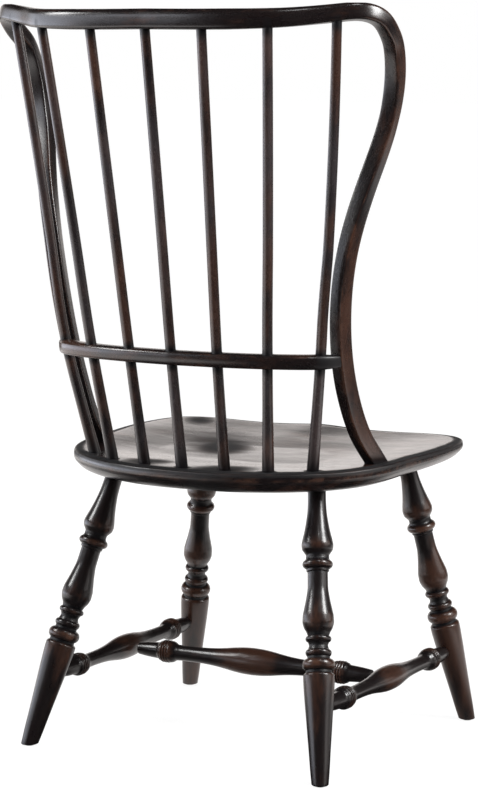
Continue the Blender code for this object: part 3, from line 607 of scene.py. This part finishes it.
def spindle_line(low, mid, high, sag):
    """Centre line of a spindle from inside the seat to inside the crest."""
    bottom = np.array((low[0], low[1], SEAT_Z))
    rail = np.array((mid[0], mid[1], RAIL_Z))
    top = np.array((high[0], high[1], crest_bottom(high[0])))
    lower = (bottom - rail) / np.linalg.norm(bottom - rail)
    upper = (top - rail) / np.linalg.norm(top - rail)
    start = rail + lower * SPINDLE_BEND
    end = rail + upper * SPINDLE_BEND
    path = [bottom + lower * SPINDLE_IN_SEAT]
    for k in np.linspace(0.0, 1.0, 16)[:-1]:
        path.append(bottom + (start - bottom) * k)
    for s in np.linspace(0.0, 1.0, 14):
        path.append(start * (1 - s) ** 2 + rail * (2 * s * (1 - s)) + end * s * s)
    first = SPINDLE_BEND / np.linalg.norm(top - rail)
    for k in np.linspace(first, 1.0, 34)[1:]:
        swell = 4.0 * k * (1.0 - k) * min(1.0, (k - first) / 0.2)
        path.append(rail + (top - rail) * k + np.array((sag[0], sag[1], 0.0)) * swell)
    path.append(top + upper * SPINDLE_IN_CREST)
    return np.array(path)


spindle_lines = {}
for number, (low, mid, high, sag) in enumerate(SPINDLES, start=1):
    for side in ((1.0, -1.0) if low[0] else (1.0,)):
        index = number if side > 0 else 8 - number
        spots = [(side * x, y) for x, y in (low, mid, high, sag)]
        spindle_lines["spindle_%d" % index] = spindle_line(*spots)


def build_spindle(node, line):
    """A whittled round spindle: slightly uneven, darkest where it meets seat, rail and crest."""
    slope = np.gradient(line, axis=0)
    slope /= np.linalg.norm(slope, axis=1)[:, None]
    side = np.cross(slope, (0.0, 1.0, 0.0))
    side /= np.linalg.norm(side, axis=1)[:, None]
    other = np.cross(slope, side)
    run = np.concatenate([[0.0], np.cumsum(np.linalg.norm(np.diff(line, axis=0), axis=1))])
    levels = [level for level, radius in SPINDLE_RADII]
    radii = [radius for level, radius in SPINDLE_RADII]
    above = line[:, 2] - SEAT_Z
    radius = np.interp(above, levels, radii)
    angles = np.linspace(0.0, 2.0 * math.pi, AROUND_SPINDLE, endpoint=False)
    home = offset_of(node)
    facet = 1.0 + SPINDLE_UNEVEN * np.cos(2 * angles[None, :] + 9.0 * run[:, None] + home[0])
    reach = radius[:, None, None] * facet[..., None]
    spokes = (np.cos(angles)[None, :, None] * side[:, None, :]
              + np.sin(angles)[None, :, None] * other[:, None, :])
    rings = line[:, None, :] + reach * spokes
    across = reach * np.stack([np.cos(angles), np.sin(angles)], 1)[None]
    lengthwise = np.broadcast_to(run[:, None, None], rings[..., :1].shape)
    grain = np.concatenate([across, lengthwise], axis=2) + home
    foot = np.clip(1.0 - above / 0.055, 0.0, 1.0)
    at_rail = np.clip(1.0 - (abs(line[:, 2] - RAIL_Z) - RAIL_HEIGHT / 2) / 0.016, 0.0, 1.0)
    at_crest = np.clip(1.0 - (line[-2, 2] - line[:, 2]) / 0.020, 0.0, 1.0)
    dirt_and_shade = np.maximum.reduce([foot * 0.85, at_rail, at_crest])
    patches = 0.5 + 0.5 * np.sin(run * 23.0 + home[1] * 5.0) * np.sin(run * 41.0 + home[2] * 7.0)
    wear = 0.48 * patches[:, None] * (0.7 + 0.3 * np.cos(angles[None, :] + home[0]))
    warm = 0.50 + 0.50 * patches[:, None]
    piece = skin(node + "_stick", rings, grain, wear, dirt_and_shade[:, None], warm, STICK)
    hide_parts(node)


for node, line in spindle_lines.items():
    build_spindle(node, line)


# bow and mid rail
def swept(centres, slopes, faces, wide, tall, corner, crowns, eases, home):
    """Rings of a rounded rectangle along a line; faces are the directions its flat sides look in."""
    run = np.concatenate([[0.0], np.cumsum(np.linalg.norm(np.diff(centres, axis=0), axis=1))])
    rings, grain, edges = [], [], []
    rows = zip(centres, slopes, faces, wide, tall, corner, crowns, eases, run)
    for point, slope, face, a, b, c, crown, ease, s in rows:
        t = slope / np.linalg.norm(slope)
        n = face - t * np.dot(face, t)
        n /= np.linalg.norm(n)
        m = np.cross(t, n)
        pairs, edge = section(a, b, c, crown, ease)
        rings.append(point + pairs[:, :1] * n + pairs[:, 1:] * m)
        grain.append(np.column_stack([pairs, np.full(len(pairs), s)]) + home)
        edges.append(edge)
    return np.array(rings), np.array(grain), np.array(edges)


def edge_side(grain):
    """1 on the outer face of the bow's section, 0 at its middle, -1 on the inner face."""
    across = grain[..., 0] - offset_of("bow")[0]
    return across / (POST_ACROSS / 2)


def build_bow():
    """The bent bow, from one post foot over the crest to the other."""
    half = np.array([(x, y, SEAT_Z + above) for x, y, above, face in BOW])
    shares = np.linspace(0.0, 1.0, 190)
    line = smooth_line(half, shares)
    slope = np.gradient(line, axis=0)
    slope[0] = (1.0, 0.0, 0.0)
    knots = np.concatenate([[0.0], np.cumsum(np.linalg.norm(np.diff(half, axis=0), axis=1))])
    angle = np.radians(np.interp(shares, knots / knots[-1], [row[3] for row in BOW]))
    upward = np.interp(shares, [0.20, 0.27, 0.33, 0.39], [0.0, 0.18, 0.18, 0.0])
    face = np.column_stack([np.cos(angle), np.sin(angle), upward])
    tall = np.interp(shares, [0.0, 0.12, 0.28, 0.40, 0.66, 0.84, 1.0],
                     [CREST_TALL, CREST_TALL, CORNER_TALL, POST_DEEP, POST_DEEP,
                      POST_FOOT_DEEP, POST_FOOT_DEEP])
    flip = np.array([-1.0, 1.0, 1.0])
    centres = np.concatenate([line[:0:-1], line * flip])
    slopes = np.concatenate([-slope[:0:-1], slope * flip])
    faces = np.concatenate([face[:0:-1], face * flip])
    talls = np.concatenate([tall[:0:-1], tall])
    wides = np.full(len(talls), POST_ACROSS)
    arris = np.interp(shares, [0.0, 0.28, 0.42], [BOW_ARRIS + 0.0012, BOW_ARRIS, POST_ARRIS])
    arrises = np.concatenate([arris[:0:-1], arris])
    crown = np.interp(shares, [0.0, 0.26, 0.40], [BOW_CROWN, BOW_CROWN, POST_CROWN])
    crowns = np.concatenate([crown[:0:-1], crown])
    ease = np.interp(shares, [0.0, 0.24, 0.36], [CREST_EASE, CREST_EASE, 1.0])
    eases = np.concatenate([ease[:0:-1], ease])
    rings, grain, edge = swept(centres, slopes, faces, wides, talls, arrises, crowns, eases,
                               offset_of("bow"))
    rings[..., 1:] = np.minimum(rings[..., 1:], np.array(cad_high)[1:] - BOX_GAP)
    from_middle = abs(np.arange(len(centres)) - (len(centres) - 1) / 2) / (len(line) - 1)
    nose = np.exp(-((from_middle - 0.34) / 0.05) ** 2)
    post = np.clip((from_middle - 0.45) / 0.1, 0.0, 1.0)
    wear = edge * (0.30 + 0.25 * post[:, None]) + 0.35 * nose[:, None]
    dirt_and_shade = near_lines(rings, spindle_lines.values(), *BOW_GRIME)
    foot = np.clip(1.0 - (rings[..., 2] - SEAT_Z) / 0.030, 0.0, 1.0)
    dirt_and_shade = np.maximum(dirt_and_shade, foot)
    warm = np.interp(from_middle, [0.0, 0.12, 0.30, 0.36, 0.46, 0.60, 0.80, 1.0],
                     [0.30, 0.15, 0.25, 0.80, 0.60, 0.55, 0.85, 0.60])[:, None]
    outer = np.clip(edge_side(grain), 0.0, 1.0)
    piece = skin("bent_bow", rings, grain, wear, dirt_and_shade, warm * (0.35 + 0.65 * outer), BENT)
    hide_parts("bow")


def build_rail():
    """The curved mid rail, its ends let into the posts."""
    shares = np.linspace(0.0, 1.0, 90)
    half = smooth_line([(x, y, RAIL_Z) for x, y in RAIL], shares)
    slope = np.gradient(half, axis=0)
    slope[0] = (1.0, 0.0, 0.0)
    deep = np.interp(shares, [0.0, 0.80, 0.93, 1.0], [RAIL_DEPTH, RAIL_DEPTH, 0.0150, 0.0130])
    high = np.interp(shares, [0.0, 0.86, 0.95, 1.0], [RAIL_HEIGHT, RAIL_HEIGHT, 0.0180, 0.0160])
    flip = np.array([-1.0, 1.0, 1.0])
    centres = np.concatenate([half[:0:-1], half * flip])
    slopes = np.concatenate([-slope[:0:-1], slope * flip])
    faces = np.column_stack([-slopes[:, 1], slopes[:, 0], np.zeros(len(slopes))])
    faces /= np.linalg.norm(faces, axis=1)[:, None]
    faces[:, 2] = RAIL_LEAN
    deeps = np.concatenate([deep[:0:-1], deep])
    highs = np.concatenate([high[:0:-1], high])
    arrises = np.interp(deeps, [0.0130, RAIL_DEPTH], [0.0030, RAIL_ARRIS])
    crowns = np.interp(deeps, [0.0130, RAIL_DEPTH], [0.0003, 0.0018])
    rings, grain, edge = swept(centres, slopes, faces, deeps, highs, arrises, crowns,
                               np.ones(len(deeps)), offset_of("rail"))
    wear = edge * 0.45
    dirt_and_shade = near_lines(rings, spindle_lines.values(), *RAIL_GRIME)
    ends = np.clip((abs(rings[..., 0]) - 0.212) / 0.012, 0.0, 1.0)
    warm = np.interp(rings[..., 0], [-0.24, -0.10, 0.02, 0.13, 0.19, 0.24],
                     [0.40, 0.45, 0.62, 0.50, 0.75, 0.95])
    ends *= np.where(rings[..., 0] > 0.0, 0.3, 0.8)
    piece = skin("curved_rail", rings, grain, wear, np.maximum(dirt_and_shade, ends), warm, BENT)
    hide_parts("mid_rail")


build_bow()
build_rail()


# seat
def seat_plane(y):
    """Height of the tilted plank's top before it is dished."""
    return SEAT_Z + SEAT_TILT * (SEAT_REF_Y - y)


def edge_level(y, depth):
    """Height of a point of the edge at a depth, on a plank that thins towards the front."""
    forward = np.clip((0.120 - y) / 0.220, 0.0, 1.0)
    return seat_plane(y) - depth * (1.0 - FRONT_THIN * forward)


def seat_top(x, y):
    """Height of the seat's upper surface before its edge is rounded."""
    hollow = np.zeros_like(x)
    for side in (-1.0, 1.0):
        u = (x - side * THIGH_X) / THIGH_WIDE
        v = (y - THIGH_Y) / np.where(y > THIGH_Y, *THIGH_DEEP)
        hollow += np.exp(-(u * u) ** 1.3 - (v * v) ** 1.6)
    u = x / REAR_HOLLOW_WIDE
    v = (y - REAR_HOLLOW_Y) / REAR_HOLLOW_DEEP
    hollow += REAR_HOLLOW * np.exp(-(u * u) ** 1.5 - (v * v) ** 1.5)
    front = 1.0 / (1.0 + np.exp((y + 0.175) / FRONT_SOFT))
    rim = RIM_TALL * np.exp(-((y - 0.010) / 0.090) ** 2) - FRONT_DROP * front
    pommel = POMMEL_TALL * np.exp(-(x / POMMEL_WIDE) ** 2)
    rim += pommel / (1.0 + np.exp((y + 0.190) / FRONT_SOFT))
    return seat_plane(y) + rim - SADDLE_DEPTH * np.minimum(hollow, 1.25)


def build_seat():
    """Saddled plank with a bull-nosed edge, as rings shrinking from the edge to the middle."""
    half = smooth_line(SEAT_OUTLINE, np.linspace(0.0, 1.0, 97))
    half[0, 0] = half[-1, 0] = 0.0
    line = np.concatenate([half, half[-2:0:-1] * (-1.0, 1.0)])
    arm = line - SEAT_CENTRE
    reach = np.linalg.norm(arm, axis=1)
    rings, wear, dirt_and_shade = [], [], []

    def at(share):
        return np.array(SEAT_CENTRE) + arm * np.asarray(share)[:, None]

    below = np.array(SEAT_EDGE_BELOW)
    above = np.array(SEAT_EDGE_ABOVE)
    for inset, level in smooth_line(below, np.linspace(0.0, 1.0, 22)[:-1]):
        spot = at((reach - inset) / reach)
        rings.append(np.column_stack([spot, edge_level(spot[:, 1], level)]))
        wear.append(0.0)
        dirt_and_shade.append(min(1.0, inset / 0.04))
    # the last ring from below and the first from above are joined by one smooth curve
    nose = smooth_line([tuple(below[-1])] + [tuple(pair) for pair in above],
                       np.linspace(0.0, 1.0, NOSE_RINGS))
    for k, (inset, drop) in enumerate(nose):
        spot = at((reach - max(inset, 0.0)) / reach)
        top = seat_top(spot[:, 0], spot[:, 1]) - drop
        if k < NOSE_BLEND:
            mix = k / NOSE_BLEND
            top = edge_level(spot[:, 1], drop) * (1.0 - mix) + top * mix
        rings.append(np.column_stack([spot, top]))
        wear.append(math.exp(-((drop - 0.0125) / 0.006) ** 2) * 0.55)
        # darker and duller along the top's rim and the nose's upper face: painted shade for the dark
        # band along the edge, together with dirt
        dirt_and_shade.append(max(math.exp(-((drop - 0.0050) / 0.0040) ** 2) * 0.66,
                        math.exp(-((inset - 0.0085) / 0.0085) ** 2) * 0.92))
    start = (reach.mean() - above[-1, 0]) / reach.mean()
    for share in np.linspace(start, 0.04, 46)[1:]:
        inner = np.full(len(line), share)
        edge = (reach - above[-1, 0]) / reach
        keep = inner * (1.0 + (edge / start - 1.0) * share)
        spot = at(keep)
        rings.append(np.column_stack([spot, seat_top(spot[:, 0], spot[:, 1])]))
        wear.append(0.20)
        dirt_and_shade.append(0.0)
    rings = np.array(rings)
    grain = rings[..., (1, 2, 0)] + offset_of("seat")
    sockets = near_lines(rings, spindle_lines.values(), *SEAT_GRIME)
    wear = np.array(wear)[:, None]
    dirt_and_shade = np.maximum(np.array(dirt_and_shade)[:, None], sockets)
    # painted shade: dark patches standing in for reflections in the seat's hollows, laid in with the
    # dirt
    for x, y, wide, deep, share in SEAT_SHADE_PATCHES:
        off_x = rings[..., 0] - x
        off_y = rings[..., 1] - y
        lengthwise = off_x * SHADE_PATCH_SLANT[0] + off_y * SHADE_PATCH_SLANT[1]
        across = off_y * SHADE_PATCH_SLANT[0] - off_x * SHADE_PATCH_SLANT[1]
        spot = np.exp(-(across / wide) ** 2 - (lengthwise / deep) ** 2)
        dirt_and_shade = np.maximum(dirt_and_shade, np.minimum(share * spot, 1.0))
    piece = skin("saddled_seat", rings, grain, wear, dirt_and_shade, 0.45, PLANK)
    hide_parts("seat")


build_seat()


# legs, stretchers and glides
def leg_point(which, side, level):
    """Point on a leg axis at a height."""
    foot = LEG_FEET[which]
    top = LEG_TOPS[which]
    share = level / LEG_TOP_Z
    return Vector((side * (foot[0] + (top[0] - foot[0]) * share),
                   foot[1] + (top[1] - foot[1]) * share, level))


def build_leg(which, hand, side):
    """A turned leg with its foot cut level."""
    base = leg_point(which, side, 0.0)
    tip = leg_point(which, side, LEG_TENON_END)
    length = (tip - base).length
    outline = fine_outline(LEG_PROFILE, LEG_CORNERS)
    outline = outline[(outline[:, 0] < length) & (outline[:, 0] > -0.004)]
    outline[0, 1] -= 0.0007

    def end_dirt(s):
        under_seat = np.clip((s - (length - 0.030)) / 0.012, 0.0, 1.0)
        foot = np.clip(1.0 - s / 0.012, 0.0, 1.0)
        return np.maximum(under_seat, 0.5 * foot)

    node = "%s_%s_leg" % (which, hand)
    turned_piece("turned_" + node, node, outline, base, tip, AROUND_LEG, end_dirt,
                 (0.0165, 0.0275), foot=FOOT_Z, tone=LEG_TONE[which, hand])


def build_stretcher(name, node, profile, corners, end, base, tip):
    """A turned stretcher, its outline mirrored about the middle."""
    fine = fine_outline(profile, corners)
    fine = fine[fine[:, 0] < end]
    outline = np.concatenate([fine[:0:-1] * (-1.0, 1.0), fine])

    def end_dirt(s):
        return np.clip((abs(s) - (end - 0.028)) / 0.012, 0.0, 1.0)

    turned_piece(name, node, outline, base, tip, AROUND_STRETCH, end_dirt, (0.0125, 0.0195))


def build_glide(which, hand, side):
    """A round steel glide with a rolled edge, its shank up inside the leg."""
    node = "%s_%s_glide" % (which, hand)
    spot = leg_point(which, side, FOOT_Z)
    outline = np.array([
        (0.0000, 0.0010), (0.0000, 0.0048), (0.0002, 0.0062), (0.0006, 0.0072), (0.0011, 0.0078),
        (0.0015, 0.0080), (0.0019, 0.0080), (0.0019, 0.0014), (0.0120, 0.0012), (0.0139, 0.0004),
    ])
    turned_piece("round_" + node, node, outline, (spot[0], spot[1], 0.0),
                 (spot[0], spot[1], 1.0), AROUND_LEG, lambda s: s * 0.0, (0.0, 1.0), STEEL)


for hand, side in (("left", 1.0), ("right", -1.0)):
    for which in ("rear", "front"):
        build_leg(which, hand, side)
        build_glide(which, hand, side)
    rear = leg_point("rear", side, STRETCH_Z["rear"])
    front = leg_point("front", side, STRETCH_Z["front"])
    middle = (rear + front) / 2
    build_stretcher("turned_%s_stretcher" % hand, hand + "_side_stretcher", SIDE_PROFILE,
                    SIDE_CORNERS, (front - rear).length / 2 - STRETCH_IN_LEG, middle, front)
build_stretcher("turned_centre_stretcher", "centre_stretcher", CENTRE_PROFILE, CENTRE_CORNERS,
                abs(middle.x) - CENTRE_IN_SIDE, (0.0, middle.y, middle.z),
                (1.0, middle.y, middle.z))


# studio
FRONT = Vector((math.sin(CAMERA_AZIMUTH), -math.cos(CAMERA_AZIMUTH), 0.0)) * -1.0
LEFT = Vector((-FRONT.y, FRONT.x, 0.0))           # to the left of the picture
SCREEN = (FRONT * 0.12 + LEFT * 0.99).normalized()  # a bluish screen stands on this side
BEYOND = (FRONT * 0.26 + LEFT * 0.966).normalized()  # its pool of light lies far out on the floor
LOW_RIGHT = (FRONT * -0.17 + LEFT * -0.985).normalized()  # a weaker warm one stands across from it
AIM = Vector((0.0, 0.0, 0.52))
FLOOR_HALF = 40.0
LAMP_AWAY = 2.6              # lamps that gloss mirrors
FILL_AWAY = 2.8              # soft ones that it doesn't
FILL_SIDE = 1.8
WARM_GLOW = (1.0, 0.96, 0.94)
WARM_SKY = (1.0, 0.94, 0.91)
BLUE_GLOW = (0.84, 0.88, 1.0)

# Steps of the floor's brightness: where each starts and ends, and the levels before and after it.
# "Far" goes by distance from the chair, "ahead" and "aside" by place, "toward" by direction.
WHITE_FAR = (0.55, 1.30, 0.90, 1.0)
POOL_AHEAD = (0.0, 0.5, 0.02, 0.95)
POOL_FAR = (3.2, 5.0, 1.0, 0.12)
LEFT_ASIDE = (0.9, 1.5, 0.0, 2.0)
LEFT_AHEAD = (-2.4, -1.4)
LEFT_FAR = (2.8, 3.8, 1.0, 0.0)
RIGHT_ASIDE = (-0.9, -0.4, 1.3, 0.0)
RIGHT_AHEAD = (-1.3, -0.7)
RIGHT_FAR = (1.2, 1.8, 1.0, 0.0)
DISTANT_TOWARD = (0.76, 0.96)
DISTANT_FAR = (3.2, 4.6)
DISTANT_LEVEL = 4.2

# The same for the room round it; "rise" goes by height above the horizon.
BACKDROP_TOWARD = (0.62, 0.95, 0.0, 1.3)
BACKDROP_RISE = (0.20, 0.36, 1.0, 0.0)
SCREEN_TOWARD = (0.72, 0.91)
SCREEN_RISE = (0.10, 0.28, 1.0, 0.0)
SCREEN_LEVEL = 3.0
LOW_RIGHT_TOWARD = (0.84, 0.95)
LOW_RIGHT_FROM = (0.02, 0.10)
LOW_RIGHT_TO = (0.30, 0.42, 1.0, 0.0)
LOW_RIGHT_LEVEL = 1.7
ROOM_LEVEL = 0.012


def build_floor():
    """White floor: it keeps the chair's contact shadow and shows pale in gloss, dark near the camera."""
    mesh = bpy.data.meshes.new("studio_floor")
    corners = [(x * FLOOR_HALF, y * FLOOR_HALF, 0.0) for x, y in ((-1, -1), (1, -1), (1, 1), (-1, 1))]
    mesh.from_pydata(corners, [], [(0, 1, 2, 3)])
    floor = bpy.data.objects.new("studio_floor", mesh)
    bpy.context.scene.collection.objects.link(floor)
    material = bpy.data.materials.new("studio_floor")
    material.use_nodes = True
    material.cycles.emission_sampling = "NONE"
    g = Graph(material.node_tree)
    path = g.add("ShaderNodeLightPath")
    camera = path.outputs["Is Camera Ray"]
    gloss = g.math("MAXIMUM", path.outputs["Is Glossy Ray"], path.outputs["Is Transmission Ray"])
    spot = g.add("ShaderNodeTexCoord").outputs["Object"]
    ahead = g.along(spot, FRONT)
    aside = g.along(spot, LEFT)
    length = g.add("ShaderNodeVectorMath", operation="LENGTH")
    g.feed(length.inputs[0], spot)
    far = length.outputs["Value"]
    near_white = g.ramp(far, *WHITE_FAR)
    reach = g.math("ADD", far, 0.3)
    pool = g.math("MULTIPLY", g.ramp(g.math("DIVIDE", ahead, reach), *POOL_AHEAD),
                  g.ramp(far, *POOL_FAR))
    left = g.math("MULTIPLY", g.ramp(aside, *LEFT_ASIDE), g.ramp(ahead, *LEFT_AHEAD))
    left = g.math("MULTIPLY", left, g.ramp(far, *LEFT_FAR))
    right = g.math("MULTIPLY", g.ramp(aside, *RIGHT_ASIDE), g.ramp(ahead, *RIGHT_AHEAD))
    right = g.math("MULTIPLY", right, g.ramp(far, *RIGHT_FAR))
    pool = g.math("MAXIMUM", pool, g.math("ADD", left, right))
    toward = g.math("DIVIDE", g.along(spot, BEYOND), far)
    distant = g.math("MULTIPLY", g.ramp(toward, *DISTANT_TOWARD), g.ramp(far, *DISTANT_FAR))
    pool = g.math("MAXIMUM", pool, g.math("MULTIPLY", distant, DISTANT_LEVEL))
    tint = g.blend(distant, WARM_GLOW, BLUE_GLOW)
    glow = g.add("ShaderNodeEmission", Strength=g.math("MULTIPLY", near_white, camera))
    sheen = g.add("ShaderNodeEmission", Color=tint, Strength=pool)
    lit = g.add("ShaderNodeBsdfDiffuse", Color=(0.80, 0.80, 0.80, 1.0))
    dim = g.add("ShaderNodeBsdfDiffuse", Color=(0.13, 0.13, 0.13, 1.0))
    both = g.add("ShaderNodeAddShader")
    g.feed(both.inputs[0], glow.outputs[0])
    g.feed(both.inputs[1], dim.outputs[0])
    seen = g.choose(camera, lit.outputs[0], both.outputs[0])
    g.add("ShaderNodeOutputMaterial", Surface=g.choose(gloss, seen, sheen.outputs[0]))
    mesh.materials.append(material)
    floor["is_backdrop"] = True


def build_world():
    """White to the camera; to the chair, a pale backdrop ahead and a dark room behind the camera."""
    world = bpy.data.worlds.new("studio")
    bpy.context.scene.world = world
    world.use_nodes = True
    g = Graph(world.node_tree)
    path = g.add("ShaderNodeLightPath")
    way = g.add("ShaderNodeTexCoord").outputs["Generated"]
    rise = g.add("ShaderNodeSeparateXYZ", Vector=way).outputs["Z"]
    backdrop = g.math("MULTIPLY", g.ramp(g.along(way, FRONT), *BACKDROP_TOWARD),
                      g.ramp(rise, *BACKDROP_RISE))
    screen = g.math("MULTIPLY", g.ramp(g.along(way, SCREEN), *SCREEN_TOWARD),
                    g.ramp(rise, *SCREEN_RISE))
    low_right = g.math("MULTIPLY", g.ramp(g.along(way, LOW_RIGHT), *LOW_RIGHT_TOWARD),
                       g.math("MULTIPLY", g.ramp(rise, *LOW_RIGHT_FROM),
                              g.ramp(rise, *LOW_RIGHT_TO)))
    colour = g.blend(screen, WARM_SKY, BLUE_GLOW)
    level = g.math("MAXIMUM", backdrop, g.math("MULTIPLY", screen, SCREEN_LEVEL))
    level = g.math("MAXIMUM", level, g.math("MULTIPLY", low_right, LOW_RIGHT_LEVEL))
    level = g.math("ADD", level, ROOM_LEVEL)
    soft = g.add("ShaderNodeBackground", Color=colour, Strength=level)
    white = g.add("ShaderNodeBackground", Color=(1.0, 1.0, 1.0, 1.0), Strength=1.0)
    seen = g.math("MAXIMUM", path.outputs["Is Camera Ray"], path.outputs["Is Transmission Ray"])
    g.add("ShaderNodeOutputWorld", Surface=g.choose(seen, soft.outputs[0], white.outputs[0]))


def softbox(name, turn, lift, distance, size, radiance, colour=(1.0, 1.0, 1.0), mirrored=True):
    """A rectangular lamp, turn degrees right of the camera and lift above level.

    Gloss shows it or not, by mirrored.
    """
    turn = math.radians(turn)
    lift = math.radians(lift)
    flat = -FRONT * math.cos(turn) - LEFT * math.sin(turn)
    place = AIM + (flat * math.cos(lift) + Vector((0.0, 0.0, math.sin(lift)))) * distance
    lamp = bpy.data.lights.new(name, "AREA")
    lamp.shape = "RECTANGLE"
    lamp.size, lamp.size_y = size
    lamp.energy = radiance * math.pi * size[0] * size[1]
    lamp.color = colour
    box = bpy.data.objects.new(name, lamp)
    box.location = place
    box.rotation_mode = "QUATERNION"
    box.rotation_quaternion = (place - AIM).to_track_quat("Z", "Y")
    bpy.context.scene.collection.objects.link(box)
    box.visible_camera = False
    box.visible_glossy = mirrored
    return box


def build_camera():
    """The camera at the photograph's place."""
    back = Vector((math.sin(CAMERA_AZIMUTH) * math.cos(CAMERA_ELEVATION),
                   -math.cos(CAMERA_AZIMUTH) * math.cos(CAMERA_ELEVATION),
                   math.sin(CAMERA_ELEVATION)))
    right = (-back).cross(Vector((0.0, 0.0, 1.0))).normalized()
    up = right.cross(-back)
    across = right * math.cos(CAMERA_ROLL) + up * math.sin(CAMERA_ROLL)
    over = up * math.cos(CAMERA_ROLL) - right * math.sin(CAMERA_ROLL)
    lens = bpy.data.cameras.new("camera")
    lens.sensor_fit = "AUTO"
    lens.sensor_width = SENSOR
    lens.lens = FOCAL_PIXELS / IMAGE[1] * SENSOR
    lens.shift_x = -(OPTICAL_CENTRE[0] - IMAGE[0] / 2) / IMAGE[1]
    lens.shift_y = (OPTICAL_CENTRE[1] - IMAGE[1] / 2) / IMAGE[1]
    camera = bpy.data.objects.new("camera", lens)
    camera.matrix_world = (Matrix.Translation(CAMERA_PLACE)
                           @ Matrix((across, over, back)).transposed().to_4x4())
    bpy.context.scene.collection.objects.link(camera)
    bpy.context.scene.camera = camera


build_floor()
build_world()
softbox("left_high", -86.0, 33.0, LAMP_AWAY, (0.66, 0.90), 18.0)
softbox("right_high", 64.0, 33.0, LAMP_AWAY, (0.78, 0.96), 27.0)
softbox("right_top", 26.0, 58.0, LAMP_AWAY, (0.40, 0.40), 14.0)
softbox("window", -58.0, 23.0, LAMP_AWAY, (0.50, 0.44), 3.0, (0.86, 0.89, 1.0))
for name, turn, lift, power in (("fill_left", -38.0, 30.0, 0.50), ("fill_right", 38.0, 30.0, 0.40),
                                ("fill_back", 180.0, 35.0, 0.45), ("fill_top", 0.0, 88.0, 0.25)):
    softbox(name, turn, lift, FILL_AWAY, (FILL_SIDE, FILL_SIDE),
            power * math.pi * FILL_AWAY ** 2 / FILL_SIDE ** 2, mirrored=False)
build_camera()
bpy.context.scene.view_settings.view_transform = "Standard"

low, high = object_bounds()
